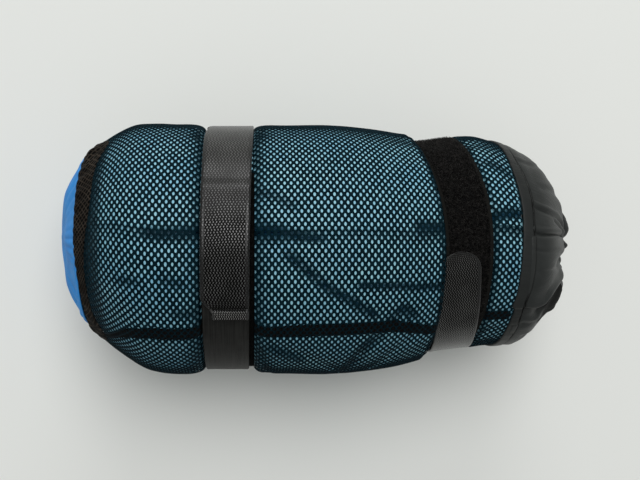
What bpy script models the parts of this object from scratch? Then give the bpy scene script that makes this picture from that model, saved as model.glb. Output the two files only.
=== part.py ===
"""Self-inflating sleeping mat, folded, rolled and packed in its mesh sack, lying on its side.

Metres. X runs along the roll to the sack's mouth, -Y is the front and Z is up.
Angles are degrees about the roll's axis: 0 is the top, 90 the front and 180 the underside.
"""

import math

import bmesh
import bpy
from mathutils import Matrix, Vector

# Sack: (x, outer radius, sideways shift of the axis, angle of the side seam)
SACK_WALL = 0.0010
BACK_SEAM = (-0.1364, 0.0541, 0.0062, 78.0)
BACK_SHOULDER = [
    (-0.1240, 0.0628, 0.0050, 62.0),
    (-0.1110, 0.0702, 0.0038, 48.0),
    (-0.0970, 0.0746, 0.0012, 38.0),
    (-0.0810, 0.0755, 0.0000, 36.0),
]
SACK_RADIUS = 0.0758
MIDDLE_BULGE = [
    (-0.0215, 0.0749, 0.0000, 34.0),
    (0.0020, SACK_RADIUS, 0.0000, 34.0),
    (0.0270, 0.0738, 0.0000, 34.0),
    (0.0450, 0.0712, 0.0000, 36.0),
]
MOUTH_SEAM = (0.1055, 0.0616, 0.0036, 40.0)
PRESSED_FLAT = 0.0038
AXIS_HEIGHT = SACK_RADIUS - PRESSED_FLAT
SEAM_WIDTH = 0.0070
SEAM_THICKNESS = 0.0010
SEAM_CLEARANCE = 0.0006

# Cloth pieces at the two ends
PANEL_WALL = 0.0008
PANEL_PROFILE = [
    (-0.1403, 0.0486),
    (-0.1442, 0.0432),
    (-0.1481, 0.0377),
    (-0.1519, 0.0292),
    (-0.1540, 0.0166),
    (-0.1546, 0.0),
]
BINDING_WIDTH = 0.0070
BINDING_OVERLAP = 0.0020
BINDING_THICKNESS = 0.0014
COLLAR_WALL = 0.0008
# (x, outer radius, sideways shift, depth of the gathers)
COLLAR_PROFILE = [
    (0.1125, 0.0606, 0.0028, 0.0),
    (0.1180, 0.0586, 0.0020, 0.0004),
    (0.1243, 0.0556, 0.0020, 0.0009),
    (0.1307, 0.0513, 0.0022, 0.0013),
    (0.1372, 0.0460, 0.0022, 0.0017),
    (0.1438, 0.0390, 0.0020, 0.0021),
    (0.1485, 0.0318, 0.0020, 0.0023),
]
GATHERS = 10
LAP_ANGLES = (4.0, 41.0)
LAP_LIFT = 0.0024
BAND_THICKNESS = 0.0010
BAND_OVERLAP = 0.0020
HEM_WIDTH = 0.0058
HEM_TAPER = 0.0058
HEM_THICKNESS = 0.0030

# Straps
STRAP_WIDTH = 0.0254
WEBBING_THICKNESS = 0.0015
WAIST_MARGIN = 0.0012
LEFT_STRAP_X = -0.0525
LEFT_WAIST_RADIUS = 0.0707
LEFT_TAPE_SHIFT = 0.0034
LEFT_TAPE_THICKNESS = 0.0012
LEFT_TAPE_ANGLES = (-35.0, 104.0)
LEFT_WEBBING_START = -20.0
LEFT_TAB_ROOT = -80.0
LEFT_TAB_TIP = 28.0
LEFT_TAB_LAP = 6.0
LEFT_TAB_THICKNESS = 0.0014
LEFT_TAB_CORNER = 0.0105
RIGHT_STRAP_X = 0.0775
RIGHT_WAIST_RADIUS = 0.0622
RIGHT_STRAP_SLANT = 0.0035
RIGHT_TAPE_THICKNESS = 0.0017
RIGHT_TAPE_ANGLES = (-100.0, 77.0)
RIGHT_TAB_ROOT = 104.0
RIGHT_TAB_TIP = 3.0
RIGHT_TAB_THICKNESS = 0.0015
RIGHT_TAB_LEAN = 0.0062

# Mat: one fabric skin on each side of a foam core, folded in half along its length and rolled
SKIN = 0.0005
FOAM = 0.00185
LAYER_GAP = 0.0004
FOLD_GAP = 0.0005
TURN_GAP = 0.0004
ROLL_CLEARANCE = 0.0018
ROLL_RADIUS = SACK_RADIUS - SACK_WALL - ROLL_CLEARANCE
ROLL_BORE = 0.0060
TAIL_ANGLE = -8.0
# (x, radius of the outermost turn)
ROLL_BACK = (-0.1380, 0.0490)
ROLL_MIDDLE_X = 0.0
ROLL_MOUTH = (0.1000, 0.0485)
WELD_MARGIN = 0.0080

# Valve, along its own axis from the mat's open edge
TONGUE_WIDTH = 0.0190
TONGUE_THICKNESS = 0.0010
VALVE_RADIUS = 0.0050
VALVE_BORE = 0.0036
VALVE_LENGTH = 0.0105
VALVE_FLANGE_RADIUS = 0.0064
VALVE_FLANGE = 0.0016
PLUG_STEM_RADIUS = 0.0016
PLUG_HEAD = 0.0014
SEAL_TUBE = 0.0006
CAP_WALL = 0.0015
CAP_GRIPS = 12
GRIP_DEPTH = 0.0005

GAP = 0.0003
AROUND = 40
TURN_STATIONS = 12


def material(name, colour, roughness, metallic=0.0):
    made = bpy.data.materials.new(name)
    made.use_nodes = True
    shader = made.node_tree.nodes["Principled BSDF"]
    shader.inputs["Base Color"].default_value = (*colour, 1.0)
    shader.inputs["Roughness"].default_value = roughness
    shader.inputs["Metallic"].default_value = metallic
    return made


def between(table, x, column):
    """Value in one column of a table at x, on straight lines between its rows."""
    rows = sorted(table)
    for low, high in zip(rows, rows[1:]):
        if x <= high[0] or high is rows[-1]:
            share = (x - low[0]) / (high[0] - low[0])
            return low[column] + (high[column] - low[column]) * share


def waist(centre, radius, reach, shift, seam):
    """Two rows where a strap draws the sack in to one radius."""
    return [
        (centre - reach, radius, shift[0], seam[0]),
        (centre + reach, radius, shift[1], seam[1]),
    ]


HALF_STRAP = STRAP_WIDTH / 2
SACK = sorted(
    [BACK_SEAM]
    + BACK_SHOULDER
    + waist(LEFT_STRAP_X, LEFT_WAIST_RADIUS, HALF_STRAP + WAIST_MARGIN, (0.0, 0.0), (35.5, 34.5))
    + MIDDLE_BULGE
    + waist(
        RIGHT_STRAP_X,
        RIGHT_WAIST_RADIUS,
        HALF_STRAP + RIGHT_STRAP_SLANT + WAIST_MARGIN,
        (0.0008, 0.0046),
        (42.0, 41.0),
    )
    + [MOUTH_SEAM]
)
COLLAR_START = (MOUTH_SEAM[0] + GAP, MOUTH_SEAM[1], MOUTH_SEAM[2], 0.0)
COLLAR = [COLLAR_START] + COLLAR_PROFILE
PANEL_START = (BACK_SEAM[0] - GAP - PANEL_WALL, BACK_SEAM[1] - GAP)
PANEL = [PANEL_START] + PANEL_PROFILE
SPINE = [(row[0], row[2]) for row in SACK + COLLAR]


def sack_radius(x):
    return between(SACK, x, 1)


def collar_radius(x):
    return between(COLLAR, x, 1)


def around(x, radius, angle, floor=0.0):
    """Point on the sack's axis frame; what would go under the floor lies flat on it."""
    turn = math.radians(angle)
    x_axis = min(max(x, SPINE[0][0]), SPINE[-1][0])
    y = between(SPINE, x_axis, 1) - radius * math.sin(turn)
    z = AXIS_HEIGHT + radius * math.cos(turn)
    return Vector((x, y, max(z, floor)))


def ring_angles(start=0.0, end=360.0):
    """The ring's own angles between two ends, so that layers keep their facets parallel."""
    step = 360.0 / AROUND
    first = math.floor(start / step) + 1
    last = math.ceil(end / step) - 1
    return [start] + [index * step for index in range(first, last + 1)] + [end]


def loft(rings, closed):
    """One closed body through rings of points: a closed loop, or with both ends capped."""
    shape = bmesh.new()
    loops = [[shape.verts.new(point) for point in ring] for ring in rings]
    following = loops[1:] + loops[:1] if closed else loops[1:]
    for ring, after in zip(loops, following):
        for index in range(len(ring)):
            side = (index + 1) % len(ring)
            shape.faces.new((ring[index], ring[side], after[side], after[index]))
    if not closed:
        shape.faces.new(loops[0])
        shape.faces.new(loops[-1])
    bmesh.ops.recalc_face_normals(shape, faces=shape.faces)
    return shape


def add_object(name, shape, surface, collection, pivot=None, parent=None, smooth=True):
    """Object from a bmesh in world metres, with its origin moved to the pivot."""
    if pivot is not None:
        bmesh.ops.translate(shape, verts=shape.verts, vec=-pivot)
    for face in shape.faces:
        face.smooth = smooth
    mesh = bpy.data.meshes.new(name)
    shape.to_mesh(mesh)
    shape.free()
    if smooth:
        mesh.set_sharp_from_angle(angle=math.radians(40))
    mesh.materials.append(surface)
    made = bpy.data.objects.new(name, mesh)
    collection.objects.link(made)
    made.parent = parent
    if pivot is not None and parent is None:
        made.location = pivot
    return made


def add_empty(name, matrix, collection, parent=None):
    made = bpy.data.objects.new(name, None)
    made.empty_display_size = 0.01
    collection.objects.link(made)
    made.parent = parent
    made.matrix_world = matrix
    return made


def sack_floor(x):
    """Height of the sack's underside: it lies on the left strap where that passes below it."""
    on_strap = abs(x - LEFT_STRAP_X) <= HALF_STRAP + WAIST_MARGIN + 1e-6
    return WEBBING_THICKNESS + GAP if on_strap else 0.0


def sack_body():
    rings = []
    for angle in ring_angles()[:-1]:
        outer = [around(row[0], row[1], angle, sack_floor(row[0])) for row in SACK]
        inner = [
            around(row[0], row[1] - SACK_WALL, angle, sack_floor(row[0]) + SACK_WALL)
            for row in SACK
        ]
        rings.append(outer + inner[::-1])
    return loft(rings, closed=True)


def side_seam():
    """Seam allowance inside the sack, from the end panel to the mouth."""
    rings = []
    for x, radius, _, angle in SACK:
        outside = radius - SACK_WALL - SEAM_CLEARANCE
        inside = outside - SEAM_THICKNESS
        half = math.degrees(SEAM_WIDTH / 2 / outside)
        corners = [(outside, -half), (outside, half), (inside, half), (inside, -half)]
        rings.append([around(x, r, angle + turn) for r, turn in corners])
    return loft(rings, closed=False)


def end_binding():
    """Bound seam that joins the mesh to the end panel, over both."""
    back = BACK_SEAM[0] - BINDING_OVERLAP
    front = BACK_SEAM[0] + BINDING_WIDTH
    inside = [
        (back, between(PANEL, back, 1) + 2 * GAP),
        (PANEL_START[0], PANEL_START[1] + GAP),
        (BACK_SEAM[0], BACK_SEAM[1] + GAP),
        (front, sack_radius(front) + GAP),
    ]
    outside = [(x, radius + BINDING_THICKNESS) for x, radius in inside]
    section = inside + outside[::-1]
    rings = [[around(x, r, angle) for x, r in section] for angle in ring_angles()[:-1]]
    return loft(rings, closed=True)


def end_panel(surface, collection):
    """Domed end: its outline turned about the sack's axis, then given its cloth's thickness."""
    shape = bmesh.new()
    points = [shape.verts.new((radius, 0.0, -x)) for x, radius in reversed(PANEL)]
    for low, high in zip(points, points[1:]):
        shape.edges.new((low, high))
    made = add_object("sack_end_panel", shape, surface, collection)
    made.location = around(0.0, 0.0, 0.0) + Vector((0.0, BACK_SEAM[2] - between(SPINE, 0.0, 1), 0.0))
    made.rotation_euler = (0.0, math.radians(-90.0), 0.0)
    turn = made.modifiers.new("Turn", "SCREW")
    turn.steps = AROUND
    turn.render_steps = AROUND
    turn.use_merge_vertices = True
    turn.merge_threshold = 0.00001
    turn.use_smooth_shade = True
    wall = made.modifiers.new("Wall", "SOLIDIFY")
    wall.thickness = PANEL_WALL
    wall.offset = -1.0
    return made


def gather(angle, depth):
    """Folds of the drawn-in cloth, uneven like real ones."""
    turn = math.radians(angle)
    wave = 0.62 * math.cos(GATHERS * turn) + 0.38 * math.cos((GATHERS - 3) * turn + 1.1)
    return depth * wave


def collar():
    rings = []
    for angle in ring_angles()[:-1]:
        outer = [around(x, r + gather(angle, depth), angle) for x, r, _, depth in COLLAR]
        inner = [
            around(x, r - COLLAR_WALL + gather(angle, depth), angle)
            for x, r, _, depth in COLLAR
        ]
        rings.append(outer + inner[::-1])
    return loft(rings, closed=True)


def collar_band():
    """Flat seam over the joint of the mesh and the collar."""
    back = MOUTH_SEAM[0] - BAND_OVERLAP
    front = COLLAR[1][0]
    inside = [
        (back, sack_radius(back) + GAP),
        (MOUTH_SEAM[0], MOUTH_SEAM[1] + GAP),
        (front, collar_radius(front) + GAP),
    ]
    outside = [(x, radius + BAND_THICKNESS) for x, radius in inside]
    section = inside + outside[::-1]
    rings = [[around(x, r, angle) for x, r in section] for angle in ring_angles()[:-1]]
    return loft(rings, closed=True)


def collar_lap():
    """The collar's cloth laps over itself at the side seam and stands off towards the mouth."""
    start = COLLAR[1][0] + GAP
    rows = [(start, collar_radius(start), 0.0)] + [(x, r, depth) for x, r, _, depth in COLLAR[2:]]
    length = rows[-1][0] - start
    rings = []
    for angle in ring_angles(*LAP_ANGLES):
        inner = []
        for x, radius, depth in rows:
            lift = 2 * GAP + LAP_LIFT * (x - start) / length
            inner.append((x, radius + gather(angle, depth) + lift))
        outer = [(x, radius + COLLAR_WALL) for x, radius in inner]
        rings.append([around(x, radius, angle) for x, radius in inner + outer[::-1]])
    return loft(rings, closed=False)


def mouth_hem():
    """Gathered hem round the mouth, next to the collar's last row."""
    x, outer, _, depth = COLLAR[-1]
    start = x + GAP
    centre = outer - COLLAR_WALL / 2
    half = HEM_THICKNESS / 2
    section = [
        (start, centre - half),
        (start, centre + half),
        (start + HEM_WIDTH * 0.55, centre - HEM_TAPER * 0.45 + half),
        (start + HEM_WIDTH, centre - HEM_TAPER + half * 0.6),
        (start + HEM_WIDTH, centre - HEM_TAPER - half * 0.6),
        (start + HEM_WIDTH * 0.45, centre - HEM_TAPER * 0.55 - half),
    ]
    rings = [
        [around(px, r + gather(angle, depth), angle) for px, r in section]
        for angle in ring_angles()[:-1]
    ]
    return loft(rings, closed=True)


def strap_piece(angles, edges, radii, floors=(0.0, 0.0)):
    """Flat band round the roll; edges and radii give its sides and faces at each angle."""
    rings = []
    for angle in angles:
        left, right = edges(angle)
        inside, outside = radii(angle)
        rings.append(
            [
                around(left, inside, angle, floors[1]),
                around(right, inside, angle, floors[1]),
                around(right, outside, angle, floors[0]),
                around(left, outside, angle, floors[0]),
            ]
        )
    return loft(rings, closed=False)


def straight_edges(centre):
    return lambda angle: (centre - HALF_STRAP, centre + HALF_STRAP)


def slanted_edges(angle):
    centre = RIGHT_STRAP_X + RIGHT_STRAP_SLANT * math.sin(math.radians(angle))
    return centre - HALF_STRAP, centre + HALF_STRAP


def left_tape():
    inside = LEFT_WAIST_RADIUS + GAP
    return strap_piece(
        ring_angles(*LEFT_TAPE_ANGLES),
        lambda angle: (
            LEFT_STRAP_X + LEFT_TAPE_SHIFT - HALF_STRAP,
            LEFT_STRAP_X + HALF_STRAP + WAIST_MARGIN,
        ),
        lambda angle: (inside, inside + LEFT_TAPE_THICKNESS),
    )


def left_webbing_radii(angle):
    """The webbing starts on top of the tape and goes down to the sack where the tape ends."""
    step = 360.0 / AROUND
    tape_end = LEFT_TAPE_ANGLES[1]
    low = LEFT_WAIST_RADIUS + GAP
    high = low + LEFT_TAPE_THICKNESS + GAP
    inside = high if angle <= tape_end + step else low
    return inside, inside + WEBBING_THICKNESS


def middle_of_cloth(x, radii, angle):
    """The point halfway through a tab's thickness, where it bends as it is peeled."""
    return around(x, sum(radii) / 2, angle)


def left_webbing():
    end = 360.0 + LEFT_TAB_ROOT + LEFT_TAB_LAP
    return strap_piece(
        ring_angles(LEFT_WEBBING_START, end),
        straight_edges(LEFT_STRAP_X),
        left_webbing_radii,
        (0.0, WEBBING_THICKNESS),
    )


def left_tab_radii(angle):
    """The tab lies on the webbing's end, then climbs over tape and webbing."""
    step = 360.0 / AROUND
    on_webbing = LEFT_WAIST_RADIUS + GAP + WEBBING_THICKNESS + GAP
    over_both = on_webbing + LEFT_TAPE_THICKNESS + GAP
    inside = over_both if angle >= LEFT_WEBBING_START - step else on_webbing
    return inside, inside + LEFT_TAB_THICKNESS


def left_tab():
    """Free end with one corner cut off."""
    outside = left_tab_radii(LEFT_TAB_TIP)[1]
    cut = math.degrees(LEFT_TAB_CORNER / outside)

    def edges(angle):
        left, right = straight_edges(LEFT_STRAP_X)(angle)
        into_corner = max(0.0, angle - (LEFT_TAB_TIP - cut)) / cut
        return left + LEFT_TAB_CORNER * into_corner, right

    angles = ring_angles(LEFT_TAB_ROOT, LEFT_TAB_TIP)
    angles = sorted(set(angles) | {LEFT_TAB_TIP - cut})
    return strap_piece(angles, edges, left_tab_radii)


def right_tape():
    inside = RIGHT_WAIST_RADIUS + GAP
    return strap_piece(
        ring_angles(*RIGHT_TAPE_ANGLES),
        slanted_edges,
        lambda angle: (inside, inside + RIGHT_TAPE_THICKNESS),
    )


def right_webbing():
    """Plain webbing round the back and under the roll, butted to both ends of the tape."""
    inside = RIGHT_WAIST_RADIUS + GAP
    butt = math.degrees(GAP / inside)
    return strap_piece(
        ring_angles(RIGHT_TAPE_ANGLES[1] + butt, 360.0 + RIGHT_TAPE_ANGLES[0] - butt),
        slanted_edges,
        lambda angle: (inside, inside + WEBBING_THICKNESS),
    )


def right_tab_radii(angle):
    under = max(RIGHT_TAPE_THICKNESS, WEBBING_THICKNESS)
    inside = RIGHT_WAIST_RADIUS + GAP + under + GAP
    return inside, inside + RIGHT_TAB_THICKNESS


def right_tab():
    """Free end rounded to a half circle, pressed down a little askew on its tape."""
    outside = right_tab_radii(RIGHT_TAB_TIP)[1]
    tip_steps = [0.03, 0.13, 0.32, 0.6, 1.0]
    reach = math.degrees(HALF_STRAP / outside)

    def edges(angle):
        left, right = slanted_edges(angle)
        from_tip = min(1.0, (angle - RIGHT_TAB_TIP) / reach)
        half = HALF_STRAP * math.sqrt(max(0.0, 1.0 - (1.0 - from_tip) ** 2))
        along = (angle - RIGHT_TAB_TIP) / (RIGHT_TAB_ROOT - RIGHT_TAB_TIP)
        middle = (left + right) / 2 - RIGHT_TAB_LEAN * (1.0 - along**2)
        return middle - half, middle + half

    tip = [RIGHT_TAB_TIP + reach * share for share in tip_steps]
    rest = [angle for angle in ring_angles(tip[-1], RIGHT_TAB_ROOT) if angle > tip[-1]]
    return strap_piece(tip + rest, edges, right_tab_radii)


FOLDED = 2 * (2 * SKIN + 2 * LAYER_GAP + FOAM) + FOLD_GAP
PITCH = FOLDED + TURN_GAP
STATIONS = round((ROLL_RADIUS - FOLDED - ROLL_BORE) / PITCH * TURN_STATIONS)


def roll_base(station):
    """Inner radius of the folded mat at a station, before the ends are drawn in."""
    return ROLL_RADIUS - FOLDED - PITCH * (STATIONS - station) / TURN_STATIONS


def roll_angle(station):
    return TAIL_ANGLE - 360.0 / TURN_STATIONS * (STATIONS - station)


def roll_scale(x):
    profile = [ROLL_BACK, (ROLL_MIDDLE_X, ROLL_RADIUS), ROLL_MOUTH]
    return between(profile, x, 1) / ROLL_RADIUS


def roll_shift(x):
    """The roll's own axis is straight between its two ends and its middle."""
    rows = [(at, between(SPINE, at, 1)) for at in (ROLL_BACK[0], ROLL_MIDDLE_X, ROLL_MOUTH[0])]
    return between(rows, x, 1)


def roll_height():
    """The roll lies on the sack's floor at its middle."""
    last_turn = range(STATIONS - TURN_STATIONS, STATIONS)
    depths = [
        -(roll_base(index) + FOLDED) * math.cos(math.radians(roll_angle(index)))
        for index in last_turn
    ]
    return SACK_WALL + GAP + max(depths)


def roll_point(x, offset, station):
    squeeze = 0.5 if station == STATIONS else 1.0
    radius = (roll_base(station) + offset * squeeze) * roll_scale(x)
    turn = math.radians(roll_angle(station))
    y = roll_shift(x) - radius * math.sin(turn)
    return Vector((x, y, roll_height() + radius * math.cos(turn)))


def rolled_layer(inset, thickness, margin):
    """One layer of the mat: a sheet folded to a U, open at the mouth end, wound to a spiral."""
    back = ROLL_BACK[0] + inset
    mouth = ROLL_MOUTH[0] - margin
    middle = ROLL_MIDDLE_X
    low = (inset, inset + thickness)
    high = (FOLDED - inset - thickness, FOLDED - inset)
    section = [
        (back, high[1]),
        (middle, high[1]),
        (mouth, high[1]),
        (mouth, high[0]),
        (middle, high[0]),
        (back + thickness, high[0]),
        (back + thickness, low[1]),
        (middle, low[1]),
        (mouth, low[1]),
        (mouth, low[0]),
        (middle, low[0]),
        (back, low[0]),
    ]
    rings = [
        [roll_point(x, offset, station) for x, offset in section]
        for station in range(STATIONS + 1)
    ]
    return loft(rings, closed=False)


def valve_frame():
    """Frame of the valve, Z along its stem, and how far its flange stands off the skins' edge.

    It sits on the inner leaf's last full facet, where the layers lean in towards the mouth.
    """
    offset = SKIN + LAYER_GAP + FOAM / 2
    edge = ROLL_MOUTH[0]
    inner = edge - WELD_MARGIN
    stations = (STATIONS - 2, STATIONS - 1)
    at_edge = [roll_point(edge, offset, index) for index in stations]
    at_inner = [roll_point(inner, offset, index) for index in stations]
    origin = (at_edge[0] + at_edge[1]) / 2
    axis = (origin - (at_inner[0] + at_inner[1]) / 2).normalized()
    across = at_edge[1] - at_edge[0]
    across = (across - axis * across.dot(axis)).normalized()
    frame = Matrix((across, axis.cross(across), axis)).transposed().to_4x4()
    lean = axis.angle(Vector((1.0, 0.0, 0.0)))
    stand_off = VALVE_FLANGE_RADIUS * math.tan(lean)
    return Matrix.Translation(origin + axis * stand_off) @ frame, stand_off


def turned(name, outline, surface, collection, parent, steps):
    """Solid of revolution about the parent's Z, from a closed or axis-ended outline."""
    shape = bmesh.new()
    points = [shape.verts.new((radius, 0.0, z)) for radius, z in outline]
    for low, high in zip(points, points[1:]):
        shape.edges.new((low, high))
    if outline[0][0] > 0:
        shape.edges.new((points[-1], points[0]))
    made = add_object(name, shape, surface, collection, parent=parent)
    turn = made.modifiers.new("Turn", "SCREW")
    turn.steps = steps
    turn.render_steps = steps
    turn.use_merge_vertices = True
    turn.merge_threshold = 0.00001
    turn.use_smooth_shade = False
    return made


def valve_body(surface, collection, helpers, parent, stand_off):
    """Tongue that the two skins clamp, flange and open stem, as one moulding."""
    start = GAP
    flange_top = start + VALVE_FLANGE
    outline = [
        (0.0, flange_top + GAP),
        (VALVE_BORE, flange_top + GAP),
        (VALVE_BORE, VALVE_LENGTH),
        (VALVE_RADIUS, VALVE_LENGTH),
        (VALVE_RADIUS, flange_top),
        (VALVE_FLANGE_RADIUS, flange_top),
        (VALVE_FLANGE_RADIUS, start),
        (0.0, start),
    ]
    made = turned("valve_body", outline, surface, collection, parent, 24)
    tongue = bmesh.new()
    length = WELD_MARGIN - GAP - LAYER_GAP + stand_off + start + VALVE_FLANGE / 2
    bmesh.ops.create_cube(tongue, size=1.0)
    bmesh.ops.scale(tongue, verts=tongue.verts, vec=(TONGUE_WIDTH, TONGUE_THICKNESS, length))
    middle = start + VALVE_FLANGE / 2 - length / 2
    bmesh.ops.translate(tongue, verts=tongue.verts, vec=(0.0, 0.0, middle))
    cutter = add_object("valve_tongue", tongue, surface, helpers, parent=parent, smooth=False)
    cutter.hide_render = True
    cutter.display_type = "WIRE"
    join = made.modifiers.new("Tongue", "BOOLEAN")
    join.operation = "UNION"
    join.solver = "EXACT"
    join.object = cutter
    return made


def seal_place():
    """Height of the seal's centre in the bore, and the radius of its ring."""
    height = GAP + VALVE_FLANGE + 2 * GAP + PLUG_HEAD + GAP + SEAL_TUBE
    return height, VALVE_BORE - GAP - SEAL_TUBE


def valve_plug(surface, collection, parent):
    """Stem with two shoulders that hold the seal between them."""
    height, _ = seal_place()
    shoulder = VALVE_BORE - GAP
    low = height - SEAL_TUBE - GAP
    high = height + SEAL_TUBE + GAP
    top = VALVE_LENGTH + GAP
    outline = [
        (0.0, low - PLUG_HEAD),
        (shoulder, low - PLUG_HEAD),
        (shoulder, low),
        (PLUG_STEM_RADIUS, low),
        (PLUG_STEM_RADIUS, high),
        (shoulder, high),
        (shoulder, high + PLUG_HEAD),
        (PLUG_STEM_RADIUS, high + PLUG_HEAD),
        (PLUG_STEM_RADIUS, top),
        (0.0, top),
    ]
    return turned("valve_plug", outline[::-1], surface, collection, parent, 24)


def valve_seal(surface, collection, parent):
    height, ring = seal_place()
    points = 8
    outline = []
    for index in range(points):
        turn = -2 * math.pi * index / points
        outline.append((ring + SEAL_TUBE * math.cos(turn), height + SEAL_TUBE * math.sin(turn)))
    return turned("valve_seal", outline, surface, collection, parent, 24)


def valve_cap(surface, collection, parent):
    """Cup over the stem with shallow grips round it."""
    bore = VALVE_RADIUS + GAP
    outer = bore + CAP_WALL
    low = GAP + VALVE_FLANGE + GAP
    ceiling = VALVE_LENGTH + GAP + GAP
    top = ceiling + CAP_WALL
    chamfer = CAP_WALL / 3
    sides = CAP_GRIPS * 4
    rows = [
        (bore, ceiling, 0.0),
        (bore, low, 0.0),
        (outer - chamfer, low, 0.0),
        (outer, low + chamfer, GRIP_DEPTH),
        (outer, top - chamfer, GRIP_DEPTH),
        (outer - 2 * chamfer, top, 0.0),
    ]
    rings = []
    for radius, height, depth in rows:
        ring = []
        for index in range(sides):
            turn = 2 * math.pi * index / sides
            grip = depth if index % 4 < 2 else 0.0
            ring.append(Vector((math.cos(turn), math.sin(turn), 0.0)) * (radius - grip))
            ring[-1].z = height
        rings.append(ring)
    shape = loft(rings, closed=False)
    return add_object("valve_cap", shape, surface, collection, parent=parent, smooth=False)


def clear_scene():
    for obj in list(bpy.data.objects):
        bpy.data.objects.remove(obj, do_unlink=True)


def new_collection(name):
    made = bpy.data.collections.new(name)
    bpy.context.scene.collection.children.link(made)
    return made


def build_sack(parts):
    mesh = material("mesh_netting", (0.045, 0.075, 0.085), 0.85)
    blue = material("blue_weave", (0.075, 0.230, 0.480), 0.75)
    binding = material("black_binding", (0.012, 0.012, 0.013), 0.85)
    cloth = material("charcoal_weave", (0.042, 0.045, 0.045), 0.70)
    add_object("sack_mesh_body", sack_body(), mesh, parts)
    add_object("side_seam", side_seam(), binding, parts)
    end_panel(blue, parts)
    add_object("end_seam_binding", end_binding(), binding, parts)
    add_object("sack_collar", collar(), cloth, parts)
    add_object("collar_seam_band", collar_band(), cloth, parts)
    add_object("collar_side_lap", collar_lap(), cloth, parts)
    add_object("mouth_hem", mouth_hem(), cloth, parts)


def build_straps(parts):
    loop = material("loop_pile", (0.008, 0.008, 0.009), 0.95)
    webbing = material("plain_webbing", (0.016, 0.016, 0.015), 0.60)
    hook = material("hook_tape_back", (0.060, 0.060, 0.058), 0.65)
    add_object("left_strap_loop_tape", left_tape(), loop, parts)
    add_object("left_strap_webbing", left_webbing(), webbing, parts)
    left_pivot = middle_of_cloth(LEFT_STRAP_X, left_tab_radii(LEFT_TAB_ROOT), LEFT_TAB_ROOT)
    add_object("left_strap_hook_tab", left_tab(), hook, parts, pivot=left_pivot)
    add_object("right_strap_loop_tape", right_tape(), loop, parts)
    add_object("right_strap_webbing", right_webbing(), webbing, parts)
    right_pivot = middle_of_cloth(RIGHT_STRAP_X, right_tab_radii(RIGHT_TAB_ROOT), RIGHT_TAB_ROOT)
    add_object("right_strap_hook_tab", right_tab(), hook, parts, pivot=right_pivot)


def build_mat(parts):
    skin = material("mat_skin", (0.165, 0.460, 0.560), 0.55)
    foam = material("open_cell_foam", (0.720, 0.690, 0.520), 0.95)
    skin_room = SKIN + LAYER_GAP
    inner_skin = skin_room + FOAM + LAYER_GAP
    add_object("mat_lower_skin", rolled_layer(0.0, SKIN, 0.0), skin, parts)
    add_object("mat_foam_core", rolled_layer(skin_room, FOAM, WELD_MARGIN), foam, parts)
    add_object("mat_upper_skin", rolled_layer(inner_skin, SKIN, 0.0), skin, parts)


def build_valve(parts, helpers):
    plastic = material("valve_plastic", (0.020, 0.020, 0.022), 0.40)
    rubber = material("valve_rubber", (0.010, 0.010, 0.010), 0.80)
    frame, stand_off = valve_frame()
    axis = add_empty("valve_axis", frame, parts)
    valve_body(plastic, parts, helpers, axis, stand_off)
    valve_plug(plastic, parts, axis)
    valve_seal(rubber, parts, axis)
    valve_cap(plastic, parts, axis)


def main():
    clear_scene()
    parts = new_collection("packed_sleeping_mat")
    helpers = new_collection("helpers")
    helpers.hide_render = True
    build_sack(parts)
    build_straps(parts)
    build_mat(parts)
    build_valve(parts, helpers)
    turns = STATIONS / TURN_STATIONS
    middle = roll_base(0) + roll_base(STATIONS) + FOLDED
    print("folded mat", round(math.pi * turns * middle, 3), "m long,", round(turns, 2), "turns")


main()
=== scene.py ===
"""Packed self-inflating sleeping mat: the visual model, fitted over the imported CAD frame.

Values are in metres and tables in millimetres, unless a comment says otherwise. X runs along the roll
to the sack's mouth, -Y is the front, Z is up. Angles are degrees about the roll's axis: 0 is the top,
90 the front and 180 the underside.
"""

import math

import bmesh
import bpy
import numpy as np
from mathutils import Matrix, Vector


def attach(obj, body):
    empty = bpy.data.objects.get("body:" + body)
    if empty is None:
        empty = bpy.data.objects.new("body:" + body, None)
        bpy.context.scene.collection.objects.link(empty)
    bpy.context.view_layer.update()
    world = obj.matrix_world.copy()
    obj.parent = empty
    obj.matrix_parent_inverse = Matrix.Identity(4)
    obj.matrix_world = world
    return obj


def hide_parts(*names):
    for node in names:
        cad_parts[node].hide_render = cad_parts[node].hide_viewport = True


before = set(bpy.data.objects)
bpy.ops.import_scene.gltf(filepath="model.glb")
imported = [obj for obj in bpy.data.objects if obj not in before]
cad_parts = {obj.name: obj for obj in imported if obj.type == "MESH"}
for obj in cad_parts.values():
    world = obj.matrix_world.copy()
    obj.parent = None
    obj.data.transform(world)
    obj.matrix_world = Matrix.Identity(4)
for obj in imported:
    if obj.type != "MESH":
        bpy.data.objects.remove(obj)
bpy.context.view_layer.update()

MM = 0.001
ROOT = "packed_mat"
AXIS_HEIGHT = 0.0720
ROLL_RADIUS = 0.0730
FLOOR_ROUND = 0.0008

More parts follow.
